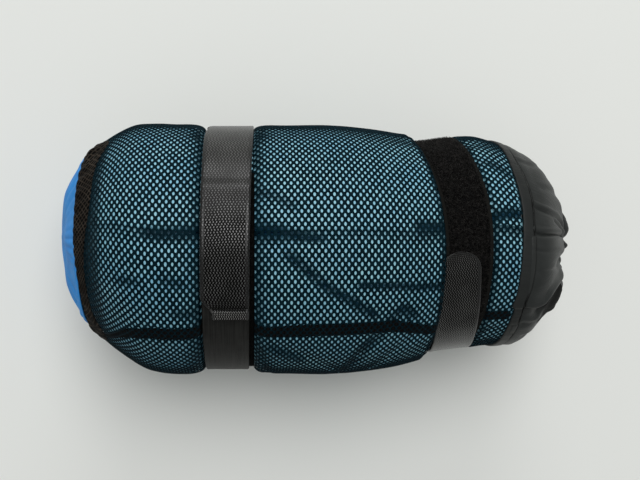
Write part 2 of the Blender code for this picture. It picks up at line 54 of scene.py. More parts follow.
# Sack without its straps: x, radius; then the sideways place of its axis
FREE_PROFILE = [
    (-139.5, 50.2), (-136.4, 53.6), (-132.6, 57.2), (-128, 60.4), (-123.9, 62.9), (-117.7, 66.6),
    (-111.5, 70.2), (-105.4, 73), (-98, 74.8), (-89, 75.6), (-70, 75.7), (-45, 75.6), (-21.5, 75.5),
    (2.5, 75.9), (14.5, 75.4), (27, 74.2), (38.6, 72.6), (50.7, 70.3), (60, 68.2), (72, 65.6), (84, 64.4),
    (93.4, 63.8), (99.5, 62.8), (106, 61.6), (110, 61),
]
SIDEWAYS = [
    (-154, 6.2), (-137, 6.2), (-124, 5), (-111, 3.8), (-97, 1.2), (-81, 0), (45, 0), (60, 0.8), (95, 4.6),
    (105.5, 3.6), (112.5, 2.8), (118, 2), (131, 2.2), (156, 2),
]
END_DROOP = 0.0064
DROOP_FROM = -0.1175
DROOP_FULL = -0.1340
SACK_UNEVEN = 0.0008
# Small pleats of the net beside the straps and at the closed end
STRAP_PUCKER = 0.00045
PUCKER_REACH = 0.012
END_PUCKER = 0.0006
END_PUCKER_FROM = -0.124
END_PUCKER_FULL = -0.136

# Straps: the net's radius under each, and how far each loop sits towards the back
HALF_STRAP = 0.0127
LEFT_STRAP_X = -0.0516
LEFT_WAIST = 0.0705
LEFT_SHIFT = 0.0009
RIGHT_WAIST = 0.0617
RIGHT_SHIFT = 0.0012
# How far past a strap's edge the net stays down, and the length in which it rises again
LEFT_FLAT = 0.0012
LEFT_RISE = 0.011
RIGHT_FLAT = -0.0002
RIGHT_RISE = 0.0032
STRAP_LIFT = 0.0003
TAPE_THICK = 0.0012
WEBBING_THICK = 0.0015
# Right strap's centre lines: angle, x
RIGHT_TAPE_LINE = [
    (-180, 72), (-140, 71), (-100, 69.5), (-75, 69), (-55, 71), (-40, 73.2), (-20, 76), (0, 77.2),
    (20, 77.4), (54, 76.6), (77, 76), (110, 75.5), (150, 73.5), (180, 72),
]
RIGHT_TAB_LINE = [(2, 71.2), (12, 71.5), (25, 72.7), (38, 74.1), (57, 76.4), (80, 79.6), (104, 81.2)]

# Net panels between the straps, in metres: name, x from, x to, spacing of the holes; then rows, seed
NET_PANELS = [
    ("net_back", -0.1335, -0.0525, 0.00356, 200, 766500),
    ("net_middle", -0.0525, 0.0775, 0.00345, 204, 847500),
    ("net_mouth", 0.0775, 0.1052, 0.00375, 188, 977500),
]
NET_DEPTH = 0.00042
# Side seam's angle along the sack: x, angle
SEAM_LINE = [
    (-136, 78), (-127, 66), (-119, 55), (-110, 45), (-103, 40.5), (-90, 37.2), (-72, 37), (-36, 35.7),
    (8, 33.8), (35, 34), (50, 37.5), (62, 41), (90, 40.2), (106, 40.6),
]

# Creases of the mat seen through the net, then folds of the net: points (x, angle), half width, depth
MAT_CREASES = [
    ([(-93, -6.6), (-86, -6.7), (-70, -7.8)], 2.5, 1.9),
    ([(-66, -8.2), (-36, -8.1), (-24, -7.4)], 2.5, 4.2),
    ([(-26, -7.6), (-14, -6.0), (-3, -4.2)], 1.5, 3.4),
    ([(50, -10.2), (64, -9.3)], 2.4, 2.6),
    ([(90, -12.0), (106, -15.6)], 2.4, 3.0),
    ([(-20, 1.5), (-9, 9.0), (3, 16.6), (13, 20.6), (26, 27.8)], 1.6, 3.4),
    ([(18, 14.4), (39, 15.4), (62, 17.7)], 1.5, 2.3),
    ([(-36, -24.7), (-27, -22.6), (-17, -18.0)], 2.2, 0.9),
    ([(-108, 16), (-100, 14)], 2.2, 0.8),
    ([(-84, 12), (-76, 14)], 2.4, 0.9),
    ([(-78, 27), (-70, 28)], 2.4, 1.0),
    ([(36, 31), (42, 26), (47, 30)], 2.4, 2.2),
    ([(29, 40), (23, 47.4), (19, 56)], 2.8, 1.7),
    ([(19, 56), (15, 65), (12, 74)], 2.8, 0.8),
    ([(-28, 46), (-12, 54)], 2.6, 1.0),
    ([(92, -44), (103, -38)], 2.4, 0.9),
]
NET_FOLDS = [
    ([(29, 42), (23, 49), (17, 61), (12, 75)], 3.6, 1.2),
    ([(38, 33), (43, 26), (48, 33)], 2.6, 1.1),
    ([(50, 42), (38, 54), (30, 68)], 3.2, 0.8),
    ([(-24, 44), (-6, 52), (8, 64)], 3.4, 0.7),
    ([(-34, 50), (-30, 66), (-28, 84)], 2.6, 0.8),
    ([(96, 52), (88, 66)], 3.0, 0.8),
]


# Numbers and curves


def step(low, high, value):
    """Smooth step from 0 at low to 1 at high; high may be the smaller."""
    share = np.clip((value - low) / (high - low), 0.0, 1.0)
    return share * share * (3.0 - 2.0 * share)


def bell(value, middle, width):
    """1 at the middle, falling away to both sides."""
    return np.exp(-(((value - middle) / width) ** 2))


def smooth_curve(rows, x_scale=MM, y_scale=MM):
    """Monotone cubic through a table of pairs, as a function of an array."""
    xs = np.array([row[0] for row in rows]) * x_scale
    ys = np.array([row[1] for row in rows]) * y_scale
    gaps = np.diff(xs)
    slopes = np.diff(ys) / gaps
    tangents = np.zeros(len(xs))
    tangents[0], tangents[-1] = slopes[0], slopes[-1]
    before, after = slopes[:-1], slopes[1:]
    same = before * after > 0
    heavy, light = 2 * gaps[1:] + gaps[:-1], gaps[1:] + 2 * gaps[:-1]
    bottom = np.where(same, heavy / np.where(same, before, 1) + light / np.where(same, after, 1), 1)
    tangents[1:-1] = np.where(same, (heavy + light) / bottom, 0.0)
    fine = np.linspace(xs[0], xs[-1], 3000)
    at = np.clip(np.searchsorted(xs, fine, side="right") - 1, 0, len(xs) - 2)
    t = (fine - xs[at]) / gaps[at]
    values = (
        (2 * t**3 - 3 * t**2 + 1) * ys[at]
        + (t**3 - 2 * t**2 + t) * gaps[at] * tangents[at]
        + (3 * t**2 - 2 * t**3) * ys[at + 1]
        + (t**3 - t**2) * gaps[at] * tangents[at + 1]
    )
    return lambda x: np.interp(x, fine, values)


def by_angle(rows):
    """Smooth curve through a table of angle and millimetres."""
    return smooth_curve(rows, x_scale=1.0)


def straight_line(rows):
    """Straight pieces through a table of pairs, the second in millimetres."""
    angles, sizes = np.array(rows, float).T
    return lambda angle: np.interp(angle, angles, sizes * MM)


def lengths(points):
    """Running length along a row of points."""
    gaps = np.linalg.norm(np.diff(points, axis=0), axis=-1)
    return np.concatenate([[0.0], np.cumsum(gaps)])


def outline(rows):
    """x and radius along a table's outline, as functions of the share of its way, and its length."""
    points = np.array(rows) * MM
    run = lengths(points)
    curves = [smooth_curve(list(zip(run / run[-1], points[:, k])), 1.0, 1.0) for k in range(2)]
    return curves[0], curves[1], run[-1]


def closed_arc(angles, radius):
    """Arc lengths of a full round of angles, with the one that closes it."""
    return np.radians(np.append(angles, 360.0)) * radius


free_radius = smooth_curve(FREE_PROFILE)
sideways = smooth_curve(SIDEWAYS)
seam_line = smooth_curve(SEAM_LINE, y_scale=1.0)
right_tape_line = by_angle(RIGHT_TAPE_LINE)
right_tab_line = by_angle(RIGHT_TAB_LINE)


def wrapped(angle):
    return (np.asarray(angle, float) + 180.0) % 360.0 - 180.0


def waves(x, angle, seed, reach=4, count=7, pace=60.0):
    """Smooth uneven relief from -1 to 1 that closes round the roll."""
    dice = np.random.default_rng(seed)
    total, weight = 0.0, 0.0
    for _ in range(count):
        around = dice.integers(1, reach + 1)
        along = dice.uniform(-pace, pace)
        share = 1.0 / (1.0 + 0.4 * around)
        total = total + share * np.sin(around * np.radians(angle) + along * x + dice.uniform(0, 6.28))
        weight += share
    return total / weight * 1.6


def creased(x, angle, lines, spread=0.0):
    """Depth of a set of soft creases; spread widens each by so many millimetres."""
    arc = np.radians(wrapped(angle)) * ROLL_RADIUS
    depth = np.zeros(np.broadcast(x, arc).shape)
    for points, half_width, deep in lines:
        nearest = np.full(depth.shape, 1.0)
        for (xa, ta), (xb, tb) in zip(points, points[1:]):
            ax, ay = xa * MM, math.radians(ta) * ROLL_RADIUS
            dx, dy = xb * MM - ax, math.radians(tb) * ROLL_RADIUS - ay
            share = np.clip(((x - ax) * dx + (arc - ay) * dy) / (dx * dx + dy * dy), 0.0, 1.0)
            nearest = np.minimum(nearest, np.hypot(x - ax - share * dx, arc - ay - share * dy))
        depth = np.maximum(depth, deep * MM * bell(nearest, 0.0, (half_width + spread) * MM))
    return depth


def upper_share(angle, back_width, front_width):
    """1 at the top of the roll, falling away to its two sides."""
    at = wrapped(angle)
    return bell(at, 0.0, np.where(at < 0, back_width, front_width))


def left_waist(angle):
    return LEFT_WAIST - LEFT_SHIFT * np.sin(np.radians(angle))


def right_waist(angle):
    return RIGHT_WAIST - RIGHT_SHIFT * np.sin(np.radians(angle))


def droop(x, angle):
    """The sack's closed end sinks at its top."""
    return END_DROOP * step(DROOP_FROM, DROOP_FULL, x) * upper_share(angle, 62.0, 62.0)


def bulge(share):
    """Rounded rise of the sack beside a strap, from 0 to 1."""
    share = np.clip(share, 0.0, 1.0)
    return 0.9 * np.sqrt(np.maximum(1.0 - (1.0 - share) ** 2.8, 0.0)) + 0.1 * share


def sack_radius(x, angle, clear=0.0):
    """Radius of the net's crests; what lies under the net rises beside a strap a clear distance later."""
    radius = free_radius(x) + SACK_UNEVEN * waves(x, angle, 3)
    puckered = 0.0
    for line, flat, rise, waist in (
        (LEFT_STRAP_X, LEFT_FLAT, LEFT_RISE, left_waist),
        (right_tape_line(wrapped(angle)), RIGHT_FLAT, RIGHT_RISE, right_waist),
    ):
        past = np.maximum(np.maximum(np.abs(x - line) - HALF_STRAP - flat, 0.0) - clear, 0.0)
        radius = radius - (radius - waist(angle)) * (1.0 - bulge(past / rise))
        puckered = puckered + np.exp(-past / PUCKER_REACH) * step(0.0, 0.002, past)
    turn = np.radians(angle)
    pleats = np.sin(31 * turn + 2.0 * np.sin(3 * turn)) * (0.6 + 0.4 * np.sin(5 * turn + 1.0))
    closing = step(END_PUCKER_FROM, END_PUCKER_FULL, x) * np.sin(43 * turn + 1.5 * np.sin(4 * turn))
    radius = radius + STRAP_PUCKER * puckered * pleats + END_PUCKER * closing
    return radius - creased(x, angle, NET_FOLDS) - droop(x, angle)


def place(x, radius, angle, floor=0.0):
    """Points on the roll's frame; what would go under the floor is pressed flat on it."""
    turn = np.radians(angle)
    y = sideways(x) - radius * np.sin(turn)
    height = AXIS_HEIGHT + radius * np.cos(turn) - floor
    z = floor + (height + np.sqrt(height * height + FLOOR_ROUND**2)) / 2
    return np.stack(np.broadcast_arrays(x, y, z), axis=-1)


# Mesh builders


def add_object(name, data):
    made = bpy.data.objects.new(name, data)
    bpy.context.scene.collection.objects.link(made)
    return made


def make_piece(name, points, faces, surface, corner_uv=None, body=ROOT):
    mesh = bpy.data.meshes.new(name)
    corners = faces.reshape(-1)
    mesh.vertices.add(len(points))
    mesh.vertices.foreach_set("co", np.ascontiguousarray(points, np.float32).reshape(-1))
    mesh.loops.add(len(corners))
    mesh.loops.foreach_set("vertex_index", corners.astype(np.int32))
    mesh.polygons.add(len(faces))
    mesh.polygons.foreach_set("loop_start", np.arange(0, len(corners), faces.shape[1], dtype=np.int32))
    mesh.polygons.foreach_set("use_smooth", np.ones(len(faces), bool))
    if corner_uv is not None:
        layer = mesh.uv_layers.new(name="UVMap")
        layer.data.foreach_set("uv", np.ascontiguousarray(corner_uv, np.float32).reshape(-1))
    mesh.update(calc_edges=True)
    mesh.validate()
    mesh.materials.append(surface)
    piece = add_object(name, mesh)
    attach(piece, body)
    return piece


def loft(name, points, surface, u, v, rows_close=False, columns_close=False, body=ROOT):
    """Grid of quads; u and v are lengths along its columns and rows, one more where that way closes."""
    rows, columns = points.shape[:2]
    i = np.arange(rows if rows_close else rows - 1)[:, None]
    j = np.arange(columns if columns_close else columns - 1)[None, :]
    i, j = (index.reshape(-1) for index in np.broadcast_arrays(i, j))
    ring = [(i, j), (i, j + 1), (i + 1, j + 1), (i + 1, j)]
    faces = np.stack([(a % rows) * columns + b % columns for a, b in ring], axis=1)
    corner_uv = np.stack([np.stack([u[b], v[a]], axis=-1) for a, b in ring], axis=1)
    return make_piece(name, points.reshape(-1, 3), faces, surface, corner_uv, body)


def fill_ends(piece):
    shape = bmesh.new()
    shape.from_mesh(piece.data)
    edges = [edge for edge in shape.edges if edge.is_boundary]
    bmesh.ops.holes_fill(shape, edges=edges, sides=0)
    bmesh.ops.recalc_face_normals(shape, faces=shape.faces)
    shape.to_mesh(piece.data)
    shape.free()


def thicken(piece, thickness, offset=-1.0):
    wall = piece.modifiers.new("Cloth", "SOLIDIFY")
    wall.thickness = thickness
    wall.offset = offset
    return piece


def paint(piece, name, values):
    """Gives each point of a piece a value that its material reads."""
    layer = piece.data.attributes.new(name, "FLOAT", "POINT")
    layer.data.foreach_set("value", values.reshape(-1).astype(np.float32))


def stand_for(piece, node):
    """Hides the solid whose place the piece takes."""
    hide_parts(node)


# Materials


def toned(colour, share):
    return tuple(value * share for value in colour)


class Graph:
    """Small helper that builds a Principled material's nodes."""

    def __init__(self, name, colour, roughness, **values):
        self.material = bpy.data.materials.new(name)
        self.material.use_nodes = True
        self.tree = self.material.node_tree
        self.fill(Base_Color=(*colour, 1.0), Roughness=roughness, **values)

    def put(self, socket, value):
        if isinstance(value, bpy.types.NodeSocket):
            self.tree.links.new(value, socket)
        elif value is not None:
            socket.default_value = value

    def fill(self, node=None, **values):
        """Fills a node's named sockets, or the shader's; a name has _ for a space."""
        node = node or self.tree.nodes["Principled BSDF"]
        for key, value in values.items():
            self.put(node.inputs[key.replace("_", " ")], value)
        return node

    def add(self, kind, **values):
        return self.fill(self.tree.nodes.new("ShaderNode" + kind), **values)

    def math(self, kind, *numbers):
        node = self.add("Math")
        node.operation = kind
        for socket, value in zip(node.inputs, numbers):
            self.put(socket, value)
        return node.outputs[0]

    def times(self, a, b):
        return self.math("MULTIPLY", a, b)

    def uv(self):
        """Lengths across and along the cloth, in metres."""
        node = self.add("UVMap")
        node.uv_map = "UVMap"
        return self.add("SeparateXYZ", Vector=node.outputs[0]).outputs[:2]

    def noise(self, scale, detail=3.0, rough=0.55, vector=None):
        """Noise in the object's own space, or along another vector."""
        vector = vector or self.add("TexCoord").outputs["Object"]
        node = self.add("TexNoise", Vector=vector, Scale=scale, Detail=detail, Roughness=rough)
        return node.outputs["Fac"]

    def stretch(self, u, v, u_scale, v_scale):
        """The two cloth directions as one vector, each with its own scale."""
        return self.add("CombineXYZ", X=self.times(u, u_scale), Y=self.times(v, v_scale)).outputs[0]

    def attribute(self, name):
        node = self.add("Attribute")
        node.attribute_name = name
        return node.outputs["Fac"]

    def sine(self, value, period, phase=0.0):
        """0 to 1 along value, once every period."""
        turned = self.math("MULTIPLY_ADD", value, 2 * math.pi / period, phase)
        return self.math("MULTIPLY_ADD", self.math("SINE", turned), 0.5, 0.5)

    def mix(self, share, *colours):
        node = self.add("Mix")
        node.data_type = "RGBA"
        self.put(node.inputs[0], share)
        for socket, value in zip(node.inputs[6:8], colours):
            self.put(socket, (*value, 1.0) if isinstance(value, tuple) else value)
        return node.outputs[2]

    def remap(self, value, low, high, to_low=0.0, to_high=1.0):
        ends = {"From_Min": low, "From_Max": high, "To_Min": to_low, "To_Max": to_high}
        return self.add("MapRange", Value=value, **ends).outputs[0]

    def mottle(self, dark, light, scale, detail=3.0, low=0.3, high=0.7):
        """Two tones mixed by noise."""
        return self.mix(self.remap(self.noise(scale, detail), low, high), dark, light)

    def bump(self, height, distance, strength=1.0, under=None):
        node = self.add("Bump", Height=height, Distance=distance, Strength=strength, Normal=under)
        return node.outputs[0]

    def finish(self, colour, normal=None, roughness=None):
        self.fill(Base_Color=colour, Normal=normal, Roughness=roughness)
        return self.material


def plain_weave(graph, pitch):
    """Height of a plain weave: over and under threads in both directions."""
    u, v = graph.uv()
    first = graph.times(graph.sine(u, pitch * 2), graph.sine(v, pitch))
    other = graph.times(graph.sine(u, pitch * 2, math.pi), graph.sine(v, pitch, math.pi))
    return graph.math("ADD", first, other)


def net_surface():
    graph = Graph("net_knit", (0.002, 0.012, 0.018), 0.6, Specular_IOR_Level=0.03)
    u, v = graph.uv()
    threads = graph.sine(graph.math("MULTIPLY_ADD", u, 1.5, v), 0.00052)
    colour = graph.mottle((0.0006, 0.0070, 0.0110), (0.0025, 0.0150, 0.0220), 220.0, 2.0, 0.3, 0.75)
    normal = graph.bump(threads, 0.00006, 0.8)
    return graph.finish(colour, graph.bump(graph.noise(2600.0, 2.0), 0.00005, 0.5, normal))


def mat_surface():
    """Light blue fabric with random mottling; painted shade colours deep creases and the closed end dark
    blue.
    """
    graph = Graph("mat_fabric", (0.24, 0.50, 0.59), 0.5, Specular_IOR_Level=0.3)
    fabric = graph.mottle((0.195, 0.440, 0.565), (0.300, 0.570, 0.630), 38.0)
    crinkle = graph.remap(graph.noise(420.0, 2.0), 0.3, 0.7, 0.0, 0.38)
    fabric = graph.mix(crinkle, fabric, (0.110, 0.330, 0.530))
    colour = graph.mix(graph.attribute("crease_shade"), fabric, (0.010, 0.085, 0.165))
    normal = graph.bump(plain_weave(graph, 0.00042), 0.00005, 0.6)
    return graph.finish(colour, graph.bump(graph.noise(260.0), 0.0004, 0.35, normal))


def foam_surface():
    graph = Graph("mat_foam", (0.70, 0.66, 0.50), 0.95)
    cells = graph.noise(1500.0, 2.0, 0.7)
    colour = graph.mix(cells, (0.60, 0.56, 0.42), (0.78, 0.74, 0.58))
    return graph.finish(colour, graph.bump(cells, 0.0005, 0.8))


def blue_surface():
    graph = Graph("blue_cloth", (0.050, 0.25, 0.64), 0.55, Specular_IOR_Level=0.12)
    colour = graph.mottle((0.026, 0.215, 0.590), (0.045, 0.285, 0.700), 60.0)
    normal = graph.bump(plain_weave(graph, 0.0005), 0.00006, 0.5)
    return graph.finish(colour, graph.bump(graph.noise(190.0), 0.0006, 0.4, normal))


def charcoal_surface(name="charcoal_cloth", tone=1.0):
    """Collar cloth; where a piece is painted with shade it is nearly black and without gloss."""
    base = toned((0.0225, 0.0245, 0.0236), tone)
    graph = Graph(name, base, 0.42, Specular_IOR_Level=0.10)
    cloth = graph.mottle(toned(base, 0.85), toned(base, 1.2), 70.0)
    crinkle = graph.noise(1.0, vector=graph.stretch(*graph.uv(), 70.0, 520.0))
    normal = graph.bump(plain_weave(graph, 0.0004), 0.00004, 0.5)
    normal = graph.bump(crinkle, 0.0005, 0.5, normal)
    shade = graph.attribute("shade")
    graph.fill(Specular_IOR_Level=graph.remap(shade, 0.0, 1.0, 0.10, 0.01))
    roughness = graph.remap(shade, 0.0, 1.0, 0.42, 0.80)
    return graph.finish(graph.mix(shade, cloth, (0.0022, 0.0020, 0.0018)), normal, roughness)


def binding_surface():
    """Doubled net: brownish strands that cross over black."""
    graph = Graph("doubled_mesh", (0.010, 0.009, 0.008), 0.7, Specular_IOR_Level=0.03)
    u, v = graph.uv()
    shift = graph.math("MULTIPLY_ADD", graph.noise(60.0, 2.0), 0.0022, v)
    along = graph.times(u, 1.5)
    first = graph.remap(graph.sine(graph.math("ADD", along, shift), 0.0030), 0.74, 0.96)
    other = graph.remap(graph.sine(graph.math("SUBTRACT", along, shift), 0.0034), 0.78, 0.97)
    strands = graph.math("MAXIMUM", first, graph.times(other, 0.75))
    patch = graph.remap(graph.noise(130.0, 2.0), 0.35, 0.70, 0.35, 1.0)
    share = graph.times(strands, patch)
    colour = graph.mix(share, (0.0010, 0.0009, 0.0008), (0.062, 0.050, 0.039))
    return graph.finish(colour, graph.bump(strands, 0.0004, 0.9))


def seam_surface():
    graph = Graph("seam_tape", (0.006, 0.006, 0.006), 0.85, Specular_IOR_Level=0.05)
    u, v = graph.uv()
    ribs = graph.times(graph.sine(u, 0.0011), graph.sine(v, 0.0016))
    colour = graph.mix(ribs, (0.0015, 0.0015, 0.0015), (0.008, 0.007, 0.007))
    return graph.finish(colour, graph.bump(ribs, 0.0003, 0.8))


def webbing_surface():
    """Black webbing with fine ribs both ways and faint lengthwise streaks."""
    graph = Graph("webbing", (0.012, 0.012, 0.012), 0.5, Specular_IOR_Level=0.10)
    u, v = graph.uv()
    ribs = graph.math("MULTIPLY_ADD", graph.sine(v, 0.00085), 0.35, graph.times(graph.sine(u, 0.0012), 0.65))
    streaks = graph.noise(1.0, 2.0, vector=graph.stretch(u, v, 1600.0, 35.0))
    tone = graph.math("MULTIPLY_ADD", streaks, 0.7, graph.times(graph.noise(140.0), 0.3))
    tone = graph.remap(tone, 0.38, 0.62)
    colour = graph.mix(tone, (0.0060, 0.0060, 0.0054), (0.0155, 0.0155, 0.0143))
    return graph.finish(colour, graph.bump(ribs, 0.00012, 0.7))


def hook_back_surface(name, dark, light, pitch, hem_shade=1.0):
    """Back of the hook tape: staggered light floats over dark, smooth selvedges; hem_shade darkens it with
    painted shadow just before its hem, and a painted highlight lightens its upper part.
    """
    graph = Graph(name, dark, 0.30, Sheen_Weight=0.10, Sheen_Roughness=0.3)
    u, v = graph.uv()
    wander = graph.math("MULTIPLY_ADD", graph.noise(45.0, 1.0), 0.0016, v)
    lean = graph.math("PINGPONG", graph.math("ADD", v, 0.2), pitch)
    lean = graph.math("MULTIPLY_ADD", lean, 0.35, u)
    across = graph.math("SINE", graph.times(lean, 2 * math.pi / pitch))
    along = graph.math("SINE", graph.times(wander, 2 * math.pi / (pitch * 1.5)))
    raised = graph.remap(graph.times(across, along), 0.10, 0.55)
    edge = graph.remap(graph.math("ABSOLUTE", u), 0.0104, 0.0109)
    patch = graph.remap(graph.noise(90.0, 2.0), 0.3, 0.7, 0.6, 1.1)
    # hem_shade darkens the tape just before its hem with painted shadow.
    share = graph.times(graph.times(raised, graph.remap(v, 0.0225, 0.0275, 1.0, hem_shade)), patch)
    # Painted highlight: beyond these places along the tape it is made lighter, for the light its upper part
    # catches.
    for start, end, least in ((0.055, 0.100, 0.62), (-0.014, -0.032, 0.22)):
        share = graph.math("MAXIMUM", share, graph.remap(v, start, end, 0.0, least))
    gloss = graph.math("MAXIMUM", share, graph.times(edge, 0.25))
    graph.fill(Specular_IOR_Level=graph.math("MULTIPLY_ADD", gloss, 0.75, 0.03))
    selvedge = tuple(a * 0.7 + b * 0.12 for a, b in zip(dark, light))
    colour = graph.mix(edge, graph.mix(share, dark, light), selvedge)
    height = graph.times(raised, graph.math("SUBTRACT", 1.0, edge))
    normal = graph.bump(height, 0.00022, 0.7)
    return graph.finish(colour, graph.bump(graph.noise(1200.0, 2.0), 0.0001, 0.4, normal))


def pile_surface():
    graph = Graph("loop_pile_base", (0.004, 0.004, 0.004), 0.95, Specular_IOR_Level=0.03)
    lumps = graph.noise(900.0, 3.0, 0.7)
    colour = graph.mix(graph.remap(lumps, 0.4, 0.75), (0.0010, 0.0010, 0.0010), (0.006, 0.0057, 0.0052))
    return graph.finish(colour, graph.bump(lumps, 0.0008, 1.0))


def fibre_surface():
    graph = Graph("loop_fibre", (0.012, 0.011, 0.010), 0.6, Specular_IOR_Level=0.12)
    return graph.finish(graph.mottle((0.004, 0.004, 0.004), (0.026, 0.024, 0.022), 500.0, 1.0, 0.35))


def thread_surface(name, colour):
    graph = Graph(name, colour, 0.8, Specular_IOR_Level=0.01)
    return graph.finish(graph.mix(graph.noise(3000.0, 1.0), toned(colour, 0.7), toned(colour, 1.3)))


def plastic_surface(name, colour, roughness):
    graph = Graph(name, colour, roughness)
    grain = graph.noise(2200.0, 2.0)
    wear = graph.remap(graph.noise(300.0), 0.35, 0.75, roughness - 0.08, roughness + 0.12)
    colour = graph.mix(grain, toned(colour, 0.8), toned(colour, 1.3))
    return graph.finish(colour, graph.bump(grain, 0.00004, 0.6), wear)


# The sack's net

# Half height of a cell's straight sides and of its points, and a hole's half sizes, as shares of a cell
CELL_SIDE = 0.26
CELL_POINT = 0.74
HOLE_WIDE = 0.190
HOLE_HIGH = 0.46
NET_X = np.linspace(-0.1385, 0.1085, 4000)
NET_RUN = lengths(np.stack([NET_X, free_radius(NET_X)], axis=-1))


def run_at(x):
    """Length along the net's outline at x."""
    return np.interp(x, NET_X, NET_RUN)


def sack_floor(x):
    """How high the floor holds the net: higher where the left strap lies under it."""
    past = np.maximum(np.abs(x - LEFT_STRAP_X) - HALF_STRAP - 0.0008, 0.0)
    return 0.0004 + WEBBING_THICK * bell(past, 0.0, 0.004)


def net_panel(name, x_from, x_to, pitch, around, seed, surface):
    """Real net: one hexagonal cell round each oval hole, crests between the holes."""
    half = pitch / 2
    rim = [(half, 0.0), (half, CELL_SIDE), (half / 2, 0.5)]
    rim += [(0.0, CELL_POINT), (-half / 2, 0.5), (-half, CELL_SIDE)]
    rim = np.concatenate([rim, np.negative(rim)])
    turns = np.radians([0, 27, 62, 90, 118, 153, 180, 207, 242, 270, 298, 333])
    columns, rows = np.meshgrid(np.arange(int(NET_RUN[-1] / pitch) + 2), np.arange(around))
    centre = (columns + 0.5 * (rows % 2)) * pitch
    keep = (centre >= run_at(x_from)) & (centre < run_at(x_to))
    centre, rows = centre[keep], rows[keep].astype(float)
    size = 1.0 + np.random.default_rng(seed).normal(0.0, 0.05, len(centre))
    pulled = 1.0 + 0.10 * waves(np.interp(centre, NET_RUN, NET_X), rows * 360.0 / around, 11, reach=9)
    wide, high = HOLE_WIDE * pitch * size * pulled, HOLE_HIGH * size
    hole_run = centre[:, None] + wide[:, None] * np.cos(turns)
    hole_row = rows[:, None] + high[:, None] * np.sin(turns)
    rim_run = centre[:, None] + rim[:, 0]
    rim_row = (rows[:, None] + rim[:, 1]) % around
    keys = np.round(np.stack([rim_run * 1e6, rim_row * 1000], axis=-1).reshape(-1, 2)).astype(np.int64)
    keys[:, 1] %= around * 1000
    crests, index = np.unique(keys, axis=0, return_inverse=True)
    index = index.reshape(-1, 12)
    run = np.concatenate([crests[:, 0] / 1e6, hole_run.reshape(-1)])
    turn = np.concatenate([crests[:, 1] / 1000.0, hole_row.reshape(-1)]) * 360.0 / around
    drop = np.concatenate([np.zeros(len(crests)), np.full(hole_run.size, NET_DEPTH)])
    x, angle = np.interp(run, NET_RUN, NET_X), wrapped(turn)
    points = place(x, sack_radius(x, angle) - drop, angle, sack_floor(x) + 0.0003 - drop * 0.5)
    here = np.arange(12)
    after = (here + 1) % 12
    first = len(crests) + np.arange(len(centre))[:, None] * 12
    faces = np.stack([first + here, first + after, index[:, after], index[:, here]], axis=-1).reshape(-1, 4)
    uv = np.stack([run, np.radians(turn) * ROLL_RADIUS], axis=-1)
    return make_piece(name, points, faces, surface, uv[faces.reshape(-1)])


# The rolled mat

MAT_BACK = -0.1350
MAT_MOUTH = 0.1090
# How far the mat is drawn in at its two ends, and from where
BACK_INSET = 0.0064
BACK_INSET_FROM = -0.1185
BACK_INSET_FULL = -0.1320
MOUTH_INSET = 0.0070
MOUTH_INSET_FROM = 0.1060
SEAM_PRESS = 0.0005
SEAM_PRESS_HALF = 0.0045
MAT_UNDER_NET = 0.00056
MAT_CLEAR = 0.0014
TAIL_ANGLE = -8.0
# Degrees in which the tail comes to its full thickness, and where the next turn starts to rise over it
TAIL_LENGTH = 45.0
TAIL_STEP = 353.5
TURNS = 7.25
TURN = 0.0082
LAYER = 0.0078
CREASE_REACH = 0.024
# Depth of each layer's outer face under the mat's own, and the layers' thickness
SKIN_THICK = 0.0005
FOAM_THICK = 0.00135
FOAM_DEPTH = 0.0014
INNER_SKIN_DEPTH = 0.00315
# Spacing of the points along the mat, closer together beside the straps' edges
OUTER_SPACING = 0.0021
INNER_SPACING = 0.0080
STRAP_EDGES = np.array([-0.0655, -0.0377, 0.0580, 0.0640, 0.0830, 0.0890])
EDGE_REACH = 0.007
# How thick the mat's tail is along the sack, as a share of a full turn
TAIL_SHARE = [
    (-140, 0.08), (-104, 0.08), (-92, 0.22), (-80, 0.34), (-30, 0.38), (-14, 0.3), (-2, 0.09), (44, 0.07),
    (52, 0.18), (64, 0.14), (86, 0.16), (95, 0.28), (110, 0.28),
]
tail_share = smooth_curve(TAIL_SHARE, y_scale=1.0)


def mat_radius(x, angle):
    """Radius of the mat's outer face: drawn in at its ends and pressed in along the side seam."""
    end = BACK_INSET * step(BACK_INSET_FROM, BACK_INSET_FULL, x)
    end = end + MOUTH_INSET * step(MOUTH_INSET_FROM, MAT_MOUTH, x)
    beside_seam = (wrapped(angle) - seam_line(x)) * math.radians(1) * ROLL_RADIUS
    pressed = SEAM_PRESS * np.exp(-((beside_seam / SEAM_PRESS_HALF) ** 4))
    return sack_radius(x, angle, MAT_CLEAR) - MAT_UNDER_NET - end - pressed


def turns_above(x, behind):
    """How many turns of the mat lie over a place that is so many degrees behind its tail."""
    thin = tail_share(x)
    whole = np.floor(behind / 360.0)
    rest = behind - whole * 360.0
    start = (1.0 - step(0.0, TAIL_LENGTH, rest)) * (whole >= 1)
    return whole + thin * step(TAIL_STEP, 360.0, rest) - (1.0 - thin) * start


def roll_points(x, depth, behind, spread):
    """Points of the rolled mat: depth from its outer face, degrees behind its tail."""
    angle = wrapped(TAIL_ANGLE - behind)
    outer = mat_radius(x, angle)
    thin = tail_share(x)
    full = thin + (1.0 - thin) * step(0.0, TAIL_LENGTH, behind)
    under = TURN * turns_above(x, behind) + depth * full
    reach = np.clip(1.0 - under / CREASE_REACH, 0.0, 1.0) * (1.0 + 0.25 * step(0.0, 0.0008, depth))
    dip = creased(x, angle, MAT_CREASES, spread) * reach
    return place(x, outer - dip - under * outer / ROLL_RADIUS, angle, 0.0024 + under * 0.7)


